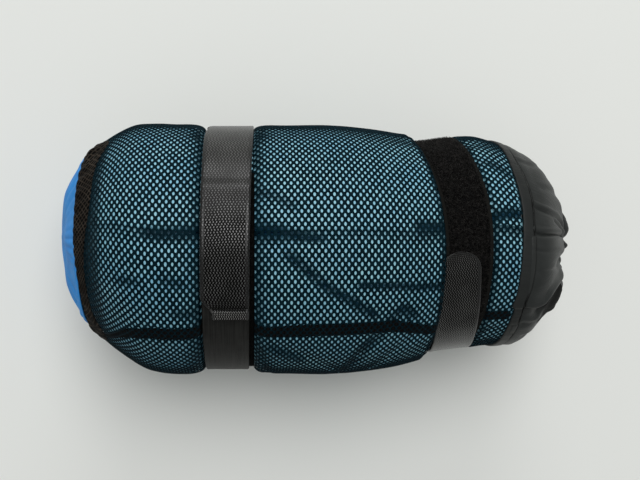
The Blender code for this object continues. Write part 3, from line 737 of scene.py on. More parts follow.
def mat_columns(spacing):
    """Places along the mat, as shares of its length, closer together beside the straps."""
    fine = np.linspace(MAT_BACK, MAT_MOUTH, 2000)
    nearest = np.min(np.abs(fine[:, None] - STRAP_EDGES), axis=1)
    density = 1.0 + 1.6 * bell(nearest, 0.0, EDGE_REACH)
    run = np.concatenate([[0.0], np.cumsum(np.diff(fine) * density[1:])])
    places = np.interp(np.linspace(0.0, run[-1], int(run[-1] / spacing)), run, fine)
    return (places - MAT_BACK) / (MAT_MOUTH - MAT_BACK)


def rolled_sheet(name, depth, thickness, surface, margin=0.0, seen=False):
    """One layer of the mat: a sheet folded to a U, open at the mouth, wound to a spiral."""
    back, mouth = MAT_BACK + depth + 0.5 * margin, MAT_MOUTH - margin
    inner, other_inner, other = depth + thickness, LAYER - depth - thickness, LAYER - depth
    xs, depths = [], []
    for start, end, at, spacing in (
        (back, mouth, depth, OUTER_SPACING), (mouth, back + thickness, inner, INNER_SPACING),
        (back + thickness, mouth, other_inner, INNER_SPACING), (mouth, back, other, INNER_SPACING),
    ):
        share = mat_columns(spacing)
        share = share if end > start else 1.0 - share[::-1]
        xs.append(start + (end - start) * share)
        depths.append(np.full(len(share), at))
    x, depths = np.concatenate(xs), np.concatenate(depths)
    near = [np.arange(0.0, 24.0, 1.2), np.arange(24.0, 276.0, 2.8), np.arange(276.0, 372.0, 1.2)]
    near = np.concatenate(near) if seen else np.arange(0.0, 372.0, 2.4)
    near = near[near >= margin * 1500.0]
    behind = np.concatenate([near[:1], near, np.arange(372.0, TURNS * 360.0, 15.0), [TURNS * 360.0]])
    pinched = np.where(depths > LAYER / 2, (other_inner + other) / 2, (depth + inner) / 2)
    depths = np.tile(depths, (len(behind), 1))
    depths[0], depths[-1] = pinched, pinched
    points = roll_points(x, depths, behind[:, None], 0.0 if seen else 1.6)
    piece = loft(name, points, surface, np.append(x, x[0]), np.radians(behind) * 0.06, columns_close=True)
    # Painted shade: the outer turn's deep creases, and the mat near the closed end, are coloured dark blue.
    dips = creased(*np.broadcast_arrays(x, wrapped(TAIL_ANGLE - behind)[:, None]), MAT_CREASES)
    crease_shade = np.clip(dips / 0.0026, 0.0, 1.0) ** 0.8 * step(1.4, 1.0, behind / 360.0)[:, None]
    paint(piece, "crease_shade", np.maximum(crease_shade, 0.62 * step(-0.1165, -0.1290, x)))
    return piece


# Straps

# A strap's section as shares of its half width and thickness, clockwise from its left edge
SECTION = [
    (-1, 0.45), (-0.975, 0.82), (-0.93, 1), (-0.87, 0.96), (-0.6, 0.94), (-0.3, 0.95), (0, 0.96),
    (0.3, 0.95), (0.6, 0.94), (0.87, 0.96), (0.93, 1), (0.975, 0.82), (1, 0.45), (0.975, 0.12), (0.9, 0),
    (0, 0), (-0.9, 0), (-0.975, 0.12),
]
ACROSS, UP = np.array(SECTION).T
STRAP_STEP = 1.5
# Left strap: where each layer runs round the roll and its two sides; the tab's have its cut corner
LEFT_TAPE_ANGLES = (-35.0, 104.1)
LEFT_WEBBING_ANGLES = (-20.0, 286.1)
LEFT_TAPE_SIDES = (-0.0622, -0.0372)
LEFT_WEBBING_SIDES = (-0.0652, -0.0399)
LEFT_TAB_BACK = [(-80, -62.6), (-70, -64.3), (-60, -65.4), (20.5, -65.6), (26.4, -59.6), (29.2, -59.4)]
LEFT_TAB_MOUTH = [(-80, -37), (-60, -37.6), (-30, -39), (0, -40), (30, -40.2)]
LEFT_TAB_LIFT = 0.0021
TAB_THICK = 0.0014
TAB_HEM_MORE = 0.0008
TAB_HEM_FROM = 25.1
# Place at the back where the left webbing is drawn narrower: angle, width, by how much
NARROW_AT = -86.0
NARROW_WIDE = 10.0
NARROWED = 0.0026
# Right strap: where each layer runs, half widths, lifts and its tape's pile
RIGHT_TAPE_ANGLES = (-100.0, 77.1)
RIGHT_WEBBING_ANGLES = (77.4, 259.7)
RIGHT_HALF = 0.0122
RIGHT_TAB_HALF = 0.0118
RIGHT_TAB_TIP = 2.6
TAB_RADIUS = 0.066
RIGHT_TAB_LIFT = 0.0023
SELVEDGE_IN = 0.0005
SELVEDGE_HALF = 0.0009
SELVEDGE_THICK = 0.0014
PILE_COUNT = 16000
PILE_ANGLES = (-99.0, 76.0)
PILE_HALF = 0.0110
PILE_ROOT = 0.0014
PILE_LENGTH = 0.0011
PILE_WIDTH = 0.00005


def band(name, angles, left, right, inner, thickness, surface, floor=0.0, body=ROOT):
    """Flat strap round the roll, with full rounded edges; arrays give its sides and inner face."""
    left, right, inner, thickness = (
        np.broadcast_to(side, angles.shape)[:, None] for side in (left, right, inner, thickness)
    )
    x = (left + right) / 2 + (right - left) / 2 * ACROSS
    points = place(x, inner + thickness * UP, angles[:, None], floor * (1.0 - UP))
    u = np.append(ACROSS, ACROSS[0]) * HALF_STRAP
    piece = loft(name, points, surface, u, np.radians(angles) * 0.07, columns_close=True, body=body)
    fill_ends(piece)
    return piece


def pile_loops(name, surface, seed):
    """Short bent fibres all over the right tape, each a sliver in two lengths."""
    dice = np.random.default_rng(seed)
    angle = dice.uniform(*PILE_ANGLES, PILE_COUNT)
    across = 2.0 * dice.uniform(0.0, 1.0, PILE_COUNT) - 1.0
    root = place(right_tape_line(angle) + PILE_HALF * across, right_waist(angle) + PILE_ROOT, angle)
    turn = np.radians(angle)
    outward = np.stack([np.zeros(PILE_COUNT), -np.sin(turn), np.cos(turn)], axis=-1)
    dice = np.random.default_rng(seed + 1)
    lean = dice.normal(0.0, 0.7, (PILE_COUNT, 3))
    lean -= outward * np.sum(lean * outward, axis=1, keepdims=True)
    long = PILE_LENGTH * dice.uniform(0.5, 1.3, (PILE_COUNT, 1))
    middle = root + long * (0.75 * outward + 0.35 * lean)
    tip = root + long * (0.9 * outward + 1.1 * lean)
    side = np.cross(outward, lean)
    side *= PILE_WIDTH / (np.linalg.norm(side, axis=1, keepdims=True) + 1e-9)
    ends = ((root, 1.0), (middle, 1.0), (tip, 0.6))
    points = np.stack([at + sign * share * side for at, share in ends for sign in (-1.0, 1.0)], axis=1)
    first = np.arange(PILE_COUNT)[:, None] * 6
    faces = np.concatenate([first + np.array([0, 1, 3, 2]), first + np.array([2, 3, 5, 4])])
    return make_piece(name, points.reshape(-1, 3), faces, surface)


# Ends of the sack

# Collar and blue end: outline as x, radius
COLLAR_LINE = [
    (104, 61.7), (108, 61.3), (112.5, 60.5), (118, 58.6), (124.3, 55.7), (130.7, 51.6), (137, 46.6),
    (142.2, 41.4), (146.4, 36), (148.6, 31.6),
]
END_LINE = [
    (-135.6, 53.2), (-137.9, 51.4), (-140.4, 48.4), (-143.8, 43.2), (-147.6, 36.2), (-150.9, 28.4),
    (-153, 17), (-153.8, 7), (-154, 0),
]
# How far the collar's mouth is drawn back: angle, millimetres
MOUTH_BACK = [
    (-180, 0), (-120, 0.3), (-88, 3.2), (-65, 6.2), (-45, 5.4), (-25, 5), (-8, 5.2), (4, 6.8), (12, 8.6),
    (24, 7.6), (38, 5.8), (50, 5.6), (62, 2.6), (75, 0.9), (100, 0.5), (180, 0),
]
# Sewn band: angle, x of its edge on the net and of its stitch line; then its radius along x in metres
BAND_START = [
    (-180, 104.2), (-90, 104.6), (-45, 105.5), (-17, 106.7), (0, 106.1), (17, 105.3), (29, 104.7),
    (33.5, 103.8), (34.4, 103.9), (35.2, 105.6), (40, 105.5), (50, 105), (90, 104.4), (180, 104.2),
]
BAND_END = [
    (-180, 109.8), (-90, 109.6), (-54, 109.5), (-38, 111.4), (-24, 112.9), (-6, 112.5), (10, 112.7),
    (21, 112.1), (33, 110.4), (56, 110.3), (90, 110), (180, 109.8),
]
BAND_RADIUS = [(0.1030, 62.1), (0.1060, 61.7), (0.1150, 60.3)]
# Fold where the collar's upper layer starts, and its free edge: share of the way to the mouth, angle
LAP_FOLD = -6.3
LAP_EDGE = [
    (0, 35), (0.12, 34.2), (0.28, 34.8), (0.336, 34.5), (0.382, 32.4), (0.448, 30.8), (0.572, 30),
    (0.81, 32.8), (1, 36),
]
LAP_FROM = 0.10
LAP_TO = 0.985
# Folds along the sack: share from, share to, angle at the band, slant and width in degrees, depth
COLLAR_FOLDS = [
    (0.17, 0.9, -20.5, 8.5, 1.4, 1.3), (0.15, 0.92, LAP_FOLD, 0, 1.4, 1.5), (0.16, 0.75, 2.5, 1, 1.2, 0.5),
    (0.5, 0.92, -13.5, 7, 1.2, 0.8), (0.2, 0.8, 13.4, -2, 1.6, 0.5), (0.3, 0.85, -33, 5, 2, 0.4),
    (0.12, 0.5, -50, 0, 2.6, 0.4), (0.2, 0.6, -72, 0, 3.2, 0.6), (0.15, 0.85, 47, 0, 2.2, 1.2),
    (0.25, 0.8, 60, 0, 2.4, 1), (0.2, 0.7, 84, 0, 3.4, 1), (0.2, 0.8, 118, 0, 3.6, 1.2),
    (0.15, 0.7, 152, 0, 3.6, 1), (0.2, 0.8, -113, 0, 3.6, 1.2), (0.2, 0.7, -148, 0, 3.6, 1),
]
# How far the hem reaches past the collar's mouth: angle, millimetres
HEM_REACH = [
    (-180, 4.2), (-85, 3.8), (-62, 2.2), (-50, 3), (-41, 5), (-30, 5.8), (-20, 4.9), (-13, 2.9), (-8, 4.6),
    (-2, 5.6), (4, 4.4), (8.5, 2.2), (14, 3.6), (20, 4.7), (26, 3.9), (31, 2.4), (38, 3.5), (48, 3.4),
    (62, 2.2), (80, 3.4), (110, 4.2), (180, 4.2),
]
# How far the collar hangs in at its top, and how slack it is in front: depth, angle, width
COLLAR_SAG = 0.0098
COLLAR_SLACK = 0.0030
SLACK_AT = 74.0
SLACK_WIDE = 24.0
# Heights of its pleats and slow waves, depth of the stitched groove
LARGE_PLEAT = 0.0015
SMALL_PLEAT = 0.0007
COLLAR_WAVE = 0.0005
STITCH_GROOVE = 0.0006
# How deep the lower layer lies under the lap, at the band and further on, and its rim past the lap
UNDER_LAP = 0.0010
UNDER_LAP_MORE = 0.0028
LAP_RIM = 0.0012
LAP_RIM_PAST = 11.0
LAP_RISE = 0.0019
CLOTH_FLOOR = 0.0006
# Hem: where it starts behind the mouth, how far its edge lies further in, half its thickness
HEM_BEHIND = 0.0010
HEM_IN = 0.0052
HEM_THICK = 0.0014
CLOTH_THICK = 0.0007
LAP_THICK = 0.0009
END_THICK = 0.0006
END_LEAN = 0.0052
END_RELIEF = 0.0008
END_RADIUS = 0.054
# Binding of the blue end: its start and width, what it gains at the back of its top and at its two
# corners, how much later it starts in front, and the height of the corners' folds
BINDING_START = -0.1378
BINDING_WIDE = 0.0058
BINDING_BACK_GAIN = 0.0060
BINDING_CORNER_GAIN = 0.0075
BINDING_FRONT_LATER = 0.0030
BINDING_CORNERS = (-63.0, 62.0)
BINDING_FOLD = 0.0009
SEAM_HALF = 0.0040
SEAM_WAVE = 0.0003
SEAM_DEPTH = 0.00022
SEAM_RADIUS = 0.0735
COLLAR_ROWS = np.concatenate([[0.055, 0.075], np.linspace(0.09, 0.18, 20)[:-1], np.linspace(0.18, 1.0, 50)])
collar_x, collar_r, COLLAR_RUN = outline(COLLAR_LINE)
mouth_back, band_start, band_end, hem_reach = map(by_angle, (MOUTH_BACK, BAND_START, BAND_END, HEM_REACH))
band_radius = straight_line(BAND_RADIUS)
lap_edge = smooth_curve(LAP_EDGE, 1.0, 1.0)


def narrowing(share):
    """How much closer the folds lie at the mouth than at the band."""
    return 0.5 * step(0.15, 1.0, share)


def at_band(share, angle):
    """Angle that a fold which passes here has at the band: folds run along the sack."""
    at = wrapped(angle)
    return at * (1.0 - narrowing(share) * step(150.0, 60.0, np.abs(at)))


def lap_start(share):
    return LAP_FOLD / (1.0 - narrowing(share))


def stitch_share(angle):
    """Where the band's stitch line lies, as a share of the way to the mouth."""
    return (band_end(wrapped(angle)) + 0.0003 - COLLAR_LINE[0][0] * MM) / COLLAR_RUN


def stitch_shade(share, angle):
    """Painted shade in the narrow groove that the topstitching draws."""
    return 0.95 * bell(share - stitch_share(angle), 0.003, 0.0080)


def collar_frame(share):
    """x, radius and the outward direction along the collar's outline, share 0 to 1."""
    fine = np.linspace(0.0, 1.0, 400)
    along_x, along_r = np.gradient(collar_x(fine), fine), np.gradient(collar_r(fine), fine)
    size = np.hypot(along_x, along_r)
    out_x, out_r = (np.interp(share, fine, side / size) for side in (-along_r, along_x))
    return collar_x(share), collar_r(share), out_x, out_r


def pleat(phase, soft=0.02):
    """Rounded ridges between sharper valleys, about -1 to 1; soft rounds the valleys too."""
    return 2.0 * np.sqrt(np.sin(phase / 2) ** 2 + soft) - 1.0 - soft


def folds(share, angle):
    """The collar's larger folds: each a valley with a narrow ridge on its upper side."""
    relief = 0.0
    for start, end, at, slant, width, deep in COLLAR_FOLDS:
        along = step(start - 0.05, start + 0.03, share) * step(end + 0.05, end - 0.05, share)
        past = (angle - at - slant * (share - start) / (end - start)) / width
        relief = relief + deep * MM * along * (0.55 * bell(past, -1.25, 0.9) - bell(past, 0.0, 1.0))
    return relief


def ruffles(angle, drift, soft=0.02):
    """Uneven pleats round the collar, in a larger and a smaller size, nearly none on its upper back."""
    at = wrapped(angle)
    turn = np.radians(angle)
    warp = 0.9 * np.sin(3 * turn + 0.6) + 0.6 * np.sin(5 * turn + 2.0)
    strong = 0.62 + 0.38 * np.sin(4 * turn + 1.0 + 0.8 * np.sin(2 * turn))
    calm = 0.22 + 0.78 * np.maximum(step(-34.0, -12.0, at), step(-80.0, -115.0, at)) * step(28.0, 14.0, at)
    calm = calm + 0.6 * step(60.0, 100.0, at)
    main = pleat(26 * turn + warp + drift, soft) * strong * calm
    return main, pleat(41 * turn - warp + 1.5, soft) * (1.25 - strong) * calm


def gathers(share, angle):
    """Relief of the drawn-in cloth: small pleats from the stitch line on, larger towards the mouth."""
    band_angle = at_band(share, angle)
    main, second = ruffles(band_angle, share)
    past = share - stitch_share(angle)
    grow = (0.08 + 0.92 * step(0.20, 0.80, past)) * (1.0 - 0.65 * step(0.88, 1.0, share))
    relief = step(-0.005, 0.02, past) * grow * (LARGE_PLEAT * main + SMALL_PLEAT * second)
    turn = np.radians(angle)
    slow = COLLAR_WAVE * step(0.1, 0.5, share) * np.sin(5 * turn + 0.5 + 1.5 * np.sin(turn))
    groove = STITCH_GROOVE * np.exp(-np.abs(past) / np.where(past > 0, 0.030, 0.008))
    return relief + slow - groove + folds(share, band_angle)


def collar_points(share, angle, lift=0.0, under_lap=False):
    """Points of the collar's cloth, which hangs lower and further in at its top and dips under its lap."""
    x, radius, out_x, out_r = collar_frame(share)
    at = wrapped(angle)
    x = x - mouth_back(at) * step(0.25, 0.95, share)
    slack = step(0.26, 0.48, share) * step(0.85, 0.58, share)
    radius = radius - COLLAR_SAG * step(0.12, 1.0, share) * upper_share(angle, 50.0, 68.0)
    radius = radius - COLLAR_SLACK * slack * bell(at, SLACK_AT, SLACK_WIDE)
    relief = gathers(share, angle) + lift
    if under_lap:
        past = at - lap_edge(share)
        under = step(-1.0, 5.0, at - lap_start(share)) * step(15.0, 6.5, past)
        rim = LAP_RIM * bell(past, LAP_RIM_PAST, 2.4) * step(0.15, 0.4, share)
        deep = UNDER_LAP + UNDER_LAP_MORE * step(0.20, 0.45, share) * step(1.0, 0.90, share)
        relief = relief + rim - deep * under
    return place(x + out_x * relief, radius + out_r * relief, angle, CLOTH_FLOOR)


def make_collar(surface):
    share, angles = COLLAR_ROWS, np.arange(0.0, 360.0, 0.75)
    points = collar_points(share, angles[:, None], under_lap=True)
    piece = loft(
        "collar_cloth", points, surface, share * COLLAR_RUN, closed_arc(angles, 0.055), rows_close=True
    )
    # Painted shadow on the lower layer past the lap's free edge, and painted shade in the stitched groove.
    past = wrapped(angles)[:, None] - lap_edge(share)
    lap_shadow = step(-1.0, 0.5, past) * step(52.0, 34.0, past) * step(0.36, 0.50, share)
    paint(piece, "shade", np.maximum(0.75 * lap_shadow, stitch_shade(share, angles[:, None])))
    return thicken(piece, CLOTH_THICK)


def make_lap(surface):
    """Upper layer of the collar, laid over the lower one at the side seam."""
    share = COLLAR_ROWS[(COLLAR_ROWS > LAP_FROM) & (COLLAR_ROWS < LAP_TO)]
    across = np.concatenate([np.linspace(0.0, 0.94, 60), [0.96, 0.975, 0.99, 1.0]])[:, None]
    angles = lap_start(share) + (lap_edge(share) - lap_start(share)) * across
    rise = LAP_RISE * step(0.15, 0.45, share) * step(1.05, 0.80, share) * step(0.82, 0.99, across)
    hem = 0.0004 * step(0.92, 0.96, across) - 0.0012 * step(0.98, 1.0, across)
    sunk = 0.0009 * step(0.08, 0.0, across) + 0.0008 * step(0.135, LAP_FROM, share)
    points = collar_points(share, angles, 0.0003 + rise + hem - sunk)
    v = np.radians(across[:, 0] * 35.0) * 0.055
    piece = loft("collar_lap", points, surface, share * COLLAR_RUN, v)
    # Painted shade of the stitched groove where the lap lies over it.
    paint(piece, "shade", stitch_shade(share, angles))
    return thicken(piece, LAP_THICK)


def make_band(surface):
    """Flat sewn band over the joint of net and collar, its stitched edge darkened with painted shade."""
    across = np.array([0.0, 0.0, 0.04, 0.15, 0.35, 0.6, 0.85, 0.96, 1.0, 1.0])
    lift = np.array([-0.5, 0.55, 0.75, 0.85, 0.9, 0.9, 0.85, 0.72, 0.45, -0.5]) * MM
    parts = (np.arange(0.0, 33.0, 1.5), np.arange(33.0, 37.5, 0.4), np.arange(37.5, 360.0, 1.5))
    angles = np.concatenate(parts)[:, None]
    at = wrapped(angles)
    pucker = 0.00010 * np.sin(np.radians(angles) * 58) + 0.0003 * waves(0.0, angles, 21, reach=9)
    lift = lift - 0.0004 * step(34.4, 35.2, at) * step(70.0, 50.0, at)
    x = band_start(at) + pucker + (band_end(at) - band_start(at)) * across
    points = place(x, band_radius(x) + lift + pucker * 0.5, angles, 0.0002)
    v = closed_arc(angles, 0.062)
    piece = loft("collar_band", points, surface, across * 0.0060, v, rows_close=True)
    # Painted shade along the band's stitched edge.
    paint(piece, "shade", np.tile(0.9 * step(0.90, 0.97, across), len(angles)))
    return piece


def make_hem(surface):
    """Ruffled hem that holds the cord's channel round the mouth."""
    angles = np.arange(0.0, 360.0, 0.75)[:, None]
    root_x, root_y, root_z = collar_points(np.array([1.0]), angles).transpose(2, 0, 1)
    root_radius = np.hypot(root_y - sideways(root_x), root_z - AXIS_HEIGHT)
    main, second = ruffles(at_band(1.0, angles), 1.0, 0.4)
    reach = hem_reach(wrapped(angles))
    reach_x = reach + 0.0005 * main + 0.0003 * second
    reach_r = -HEM_IN + 0.0012 * main + 0.0005 * second + 0.45 * (reach - 0.0030)
    loop = np.linspace(2 * math.pi, 0.0, 15)
    along = 0.5 - 0.5 * np.cos(loop[1:])
    thick = HEM_THICK * np.sin(loop[1:]) * (1.0 - 0.25 * along)
    x = root_x - HEM_BEHIND + reach_x * along + thick * 0.65
    points = place(x, root_radius - 0.0002 + reach_r * along + thick * 0.75, angles, CLOTH_FLOOR)
    u, v = loop[::-1] * 0.0018, closed_arc(angles, 0.03)
    return loft("mouth_hem_ruffle", points, surface, u, v, rows_close=True, columns_close=True)


def make_end_panel(surface):
    """Blue domed end: drawn in by its seam, with small puckers along it, and lower at its top."""
    end_x, end_r, run = outline(END_LINE)
    share = np.concatenate([np.linspace(0.0, 0.35, 22)[:-1], np.linspace(0.35, 1.0, 26)])
    x, radius = end_x(share), end_r(share)
    angles = np.arange(0.0, 360.0, 1.5)[:, None]
    turn = np.radians(angles)
    hem_shade = step(0.75, 0.05, share) * step(0.0, 0.08, share)
    pucker = pleat(37 * turn + 2.2 * np.sin(3 * turn)) * (0.7 + 0.5 * np.sin(7 * turn + 1))
    slack = np.sin(6 * turn + 3.0 * share) * step(0.0, 0.4, share) * step(1.0, 0.6, share)
    relief = END_RELIEF * (hem_shade * pucker + slack)
    sag = droop(np.maximum(x, -0.1370), angles) * (radius / END_RADIUS) ** 1.5
    lean = END_LEAN * step(0.0, 0.024, radius) * step(0.0535, 0.046, radius) * upper_share(angles, 58.0, 80.0)
    points = place(x + lean - relief * 0.6, radius + relief * 0.8 - sag, angles, 0.0005)
    piece = loft("blue_end", points, surface, share * run, closed_arc(angles, 0.045), rows_close=True)
    return thicken(piece, END_THICK, offset=1.0)


def make_binding(surface):
    """Folded edge of the net, bound over the seam with the blue end, bunched at its two corners."""
    across = np.array([1.0, 0.94, 0.82, 0.7, 0.58, 0.45, 0.32, 0.2, 0.08, 0.02, 0.0])
    lift = np.array([-0.3, 0.25, 0.40, 0.50, 0.60, 0.65, 0.70, 0.70, 0.65, 0.35, -0.5]) * MM
    angles = np.arange(0.0, 360.0, 1.0)[:, None]
    at, turn = wrapped(angles), np.radians(angles)
    scallop = 0.00012 * np.sin(71 * turn + 2 * np.sin(5 * turn)) + 0.0008 * waves(0.0, angles, 31, reach=7)
    back_corner, front_corner = BINDING_CORNERS
    corner = bell(at, back_corner, 13.0) + bell(at, front_corner, 12.0)
    wide = BINDING_WIDE + BINDING_BACK_GAIN * step(-90.0, -45.0, at) * step(26.0, -30.0, at)
    wide = wide + BINDING_CORNER_GAIN * corner
    start = BINDING_START + BINDING_FRONT_LATER * step(-5.0, 45.0, at) * step(100.0, 60.0, at)
    x = start + wide * across + scallop * (1.0 - across)
    fold = corner * BINDING_FOLD * np.sin(12.0 * across + 34 * turn) * np.sin(math.pi * across)
    points = place(x, sack_radius(x, angles) + lift + 0.3 * scallop + fold, angles, 0.0003)
    v = closed_arc(angles, 0.056)
    return loft("doubled_mesh_band", points, surface, across * 0.0083, v, rows_close=True)


def make_side_seam(surface):
    """Seam allowance between the mat and the net."""
    x = np.linspace(-0.1340, 0.1040, 240)[:, None]
    across = np.array([1.0, 0.9, 0.5, 0.0, -0.5, -0.9, -1.0])
    lift = np.array([-0.25, 0.0, 0.06, 0.02, 0.06, 0.0, -0.25]) * MM
    half = np.degrees((SEAM_HALF + SEAM_WAVE * np.sin(x * 1800.0)) / SEAM_RADIUS)
    angle = seam_line(x) + half * across
    points = place(x, sack_radius(x, angle) - SEAM_DEPTH + lift, angle, CLOTH_FLOOR)
    return loft("seam_allowance", points, surface, across * SEAM_HALF, x[:, 0])


def make_topstitching(surface, spacing=0.0026, length=0.0022, radius=0.0002):
    """Sewn stitches along the band's edge, each a small spindle; they rise onto the lap."""
    angles = np.linspace(0.0, 360.0, 361)
    share, at, turn = stitch_share(angles), wrapped(angles), np.radians(angles)
    over = step(0.0, 2.0, at - lap_start(share)) * step(1.0, -1.0, at - lap_edge(share))
    path = collar_points(share, angles, 0.0004 + 0.0003 * over)
    run = lengths(path)
    places = np.arange(spacing / 2, run[-1], spacing)

    def sample(values, where):
        return np.stack([np.interp(where, run, values[:, k]) for k in range(3)], axis=-1)

    middle = sample(path, places)
    along = sample(path, places + 0.0005) - middle
    along /= np.linalg.norm(along, axis=1, keepdims=True)
    out = sample(np.stack([np.full(len(turn), 0.1), -np.sin(turn), np.cos(turn)], axis=-1), places)
    out /= np.linalg.norm(out, axis=1, keepdims=True)
    side = np.cross(out, along)
    half, ring = along * length / 2, [out * radius, side * radius, -out * radius, -side * radius]
    points = [middle - half - out * radius] + [middle - half * 0.6 + edge for edge in ring]
    points += [middle + half * 0.6 + edge for edge in ring] + [middle + half - out * radius]
    corners = []
    for k in range(4):
        n = (k + 1) % 4
        corners += [(0, 1 + n, 1 + k), (1 + k, 1 + n, 5 + n), (1 + k, 5 + n, 5 + k), (9, 5 + k, 5 + n)]
    first = np.arange(len(places))[:, None] * 10
    faces = np.concatenate([first + np.array(corner) for corner in corners])
    return make_piece("collar_topstitch", np.stack(points, axis=1).reshape(-1, 3), faces, surface)


# Putting the pieces together


def build_net():
    surface = net_surface()
    for name, x_from, x_to, *cells in NET_PANELS:
        panel = net_panel(name, x_from, x_to, *cells, surface)
        stand_for(panel, "sack_mesh_body")


def build_mat():
    fabric = mat_surface()
    outer = rolled_sheet("mat_outer_skin", 0.0, SKIN_THICK, fabric, seen=True)
    core = rolled_sheet("mat_foam", FOAM_DEPTH, FOAM_THICK, foam_surface(), margin=0.0100)
    inner = rolled_sheet("mat_inner_skin", INNER_SKIN_DEPTH, SKIN_THICK, fabric)
    stand_for(outer, "mat_lower_skin")
    stand_for(core, "mat_foam_core")
    stand_for(inner, "mat_upper_skin")


def build_left_strap(webbing, pile):
    """Tape over the top, webbing round the roll and over the tape's end, tab with its hemmed tip."""
    dark, light = (0.0014, 0.0014, 0.0013), (0.048, 0.048, 0.046)
    # 0.60 darkens the tape just before its hem with painted shadow.
    tab_back = hook_back_surface("hook_tape_back", dark, light, 0.00165, 0.60)
    dark, light = (0.003, 0.003, 0.0028), (0.165, 0.162, 0.155)
    hem_back = hook_back_surface("hook_tape_hem", dark, light, 0.00160)
    angles = np.arange(*LEFT_TAPE_ANGLES, STRAP_STEP)
    tape = band(
        "left_loop_tape", angles, *LEFT_TAPE_SIDES, left_waist(angles) + STRAP_LIFT, TAPE_THICK, pile
    )
    stand_for(tape, "left_strap_loop_tape")
    angles = np.arange(*LEFT_WEBBING_ANGLES, STRAP_STEP)
    at = wrapped(angles)
    over_tape = WEBBING_THICK * step(117.0, 106.0, at) * (np.abs(at) < 125)
    left, right = LEFT_WEBBING_SIDES
    left = left + NARROWED * bell(at, NARROW_AT, NARROW_WIDE)
    inner = left_waist(angles) + STRAP_LIFT + over_tape
    strap = band("left_webbing", angles, left, right, inner, WEBBING_THICK, webbing, WEBBING_THICK)
    stand_for(strap, "left_strap_webbing")
    angles = np.concatenate([np.arange(-80.0, 24.0, 1.0), np.arange(24.0, 29.01, 0.25)])
    left, right = (straight_line(rows)(angles) for rows in (LEFT_TAB_BACK, LEFT_TAB_MOUTH))
    inner = left_waist(angles) + LEFT_TAB_LIFT + WEBBING_THICK * step(-32.0, -26.0, angles)
    thick = TAB_THICK + TAB_HEM_MORE * step(24.8, 25.3, angles) - TAB_HEM_MORE * bell(angles, 24.4, 0.4)
    tab = band("left_tab_cloth", angles, left, right, inner, thick, tab_back, body="left_tab")
    tab.data.materials.append(hem_back)
    hem = np.searchsorted(angles, TAB_HEM_FROM) * len(ACROSS)
    for face in tab.data.polygons[int(hem):(len(angles) - 1) * len(ACROSS)]:
        face.material_index = 1
    stand_for(tab, "left_strap_hook_tab")


def build_right_strap(webbing, pile):
    """Furry tape with its selvedges over the top, webbing round the back, tab with a rounded tip."""
    selvedge = thread_surface("selvedge", (0.0085, 0.0085, 0.0078))
    tab_back = hook_back_surface("hook_tab_back", (0.0020, 0.0020, 0.0019), (0.055, 0.055, 0.052), 0.00145)
    angles = np.arange(*RIGHT_TAPE_ANGLES, STRAP_STEP)
    centre, inner = right_tape_line(angles), right_waist(angles) + STRAP_LIFT
    tape = band(
        "right_loop_tape", angles, centre - RIGHT_HALF, centre + RIGHT_HALF, inner, TAPE_THICK, pile
    )
    stand_for(tape, "right_strap_loop_tape")
    for name, side in (("right_tape_selvedge_back", -1.0), ("right_tape_selvedge_mouth", 1.0)):
        edge = centre + side * (RIGHT_HALF - SELVEDGE_IN)
        left, right = edge - SELVEDGE_HALF, edge + SELVEDGE_HALF
        trim = band(name, angles, left, right, inner, SELVEDGE_THICK, selvedge)
        stand_for(trim, "right_strap_loop_tape")
    stand_for(pile_loops("right_tape_loops", fibre_surface(), 5), "right_strap_loop_tape")
    angles = np.arange(*RIGHT_WEBBING_ANGLES, STRAP_STEP)
    centre, inner = right_tape_line(wrapped(angles)), right_waist(angles) + STRAP_LIFT
    left, right = centre - RIGHT_HALF, centre + RIGHT_HALF
    strap = band("right_webbing", angles, left, right, inner, WEBBING_THICK, webbing, WEBBING_THICK)
    stand_for(strap, "right_strap_webbing")
    reach = math.degrees(RIGHT_HALF / TAB_RADIUS)
    shares = np.array([0.0, 0.01, 0.03, 0.07, 0.13, 0.22, 0.32, 0.45, 0.6, 0.8, 1.0])
    past_tip = np.arange(RIGHT_TAB_TIP + reach + 1.0, 104.0, 1.0)
    angles = np.concatenate([RIGHT_TAB_TIP + reach * shares, past_tip])
    from_tip = np.clip((angles - RIGHT_TAB_TIP) / reach, 0.0, 1.0)
    half = RIGHT_TAB_HALF * np.sqrt(np.maximum(1.0 - (1.0 - from_tip) ** 2.3, 1e-4))
    centre, inner = right_tab_line(angles), right_waist(angles) + RIGHT_TAB_LIFT
    left, right = centre - half, centre + half
    tab = band("right_tab_cloth", angles, left, right, inner, WEBBING_THICK, tab_back, body="right_tab")
    stand_for(tab, "right_strap_hook_tab")


def build_straps():
    webbing, pile = webbing_surface(), pile_surface()
    build_left_strap(webbing, pile)
    build_right_strap(webbing, pile)


def build_ends():
    cloth = charcoal_surface()
    end, collar, lap = make_end_panel(blue_surface()), make_collar(cloth), make_lap(cloth)
    stand_for(end, "sack_end_panel")
    stand_for(collar, "sack_collar")
    stand_for(lap, "collar_side_lap")
    stand_for(make_binding(binding_surface()), "end_seam_binding")
    stand_for(make_side_seam(seam_surface()), "side_seam")
    stand_for(make_band(charcoal_surface("charcoal_band", 0.80)), "collar_seam_band")
    stand_for(make_hem(cloth), "mouth_hem")
    thread = thread_surface("dark_thread", (0.0015, 0.0015, 0.0015))
    stand_for(make_topstitching(thread), "sack_collar")


def dress_valve():
    plastic = plastic_surface("valve_plastic_grain", (0.018, 0.018, 0.020), 0.42)
    rubber = plastic_surface("valve_rubber_grain", (0.010, 0.010, 0.010), 0.75)
    for node in ("valve_body", "valve_plug", "valve_cap"):
        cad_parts[node].material_slots[0].material = plastic
    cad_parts["valve_seal"].material_slots[0].material = rubber


# Floor, light and camera

FLOOR_REACH = 4.0
FLOOR_COLOUR = (0.76, 0.77, 0.74)
STUDIO_COLOUR = (0.98, 1.0, 1.0, 1.0)
STUDIO_STRENGTH = 0.38
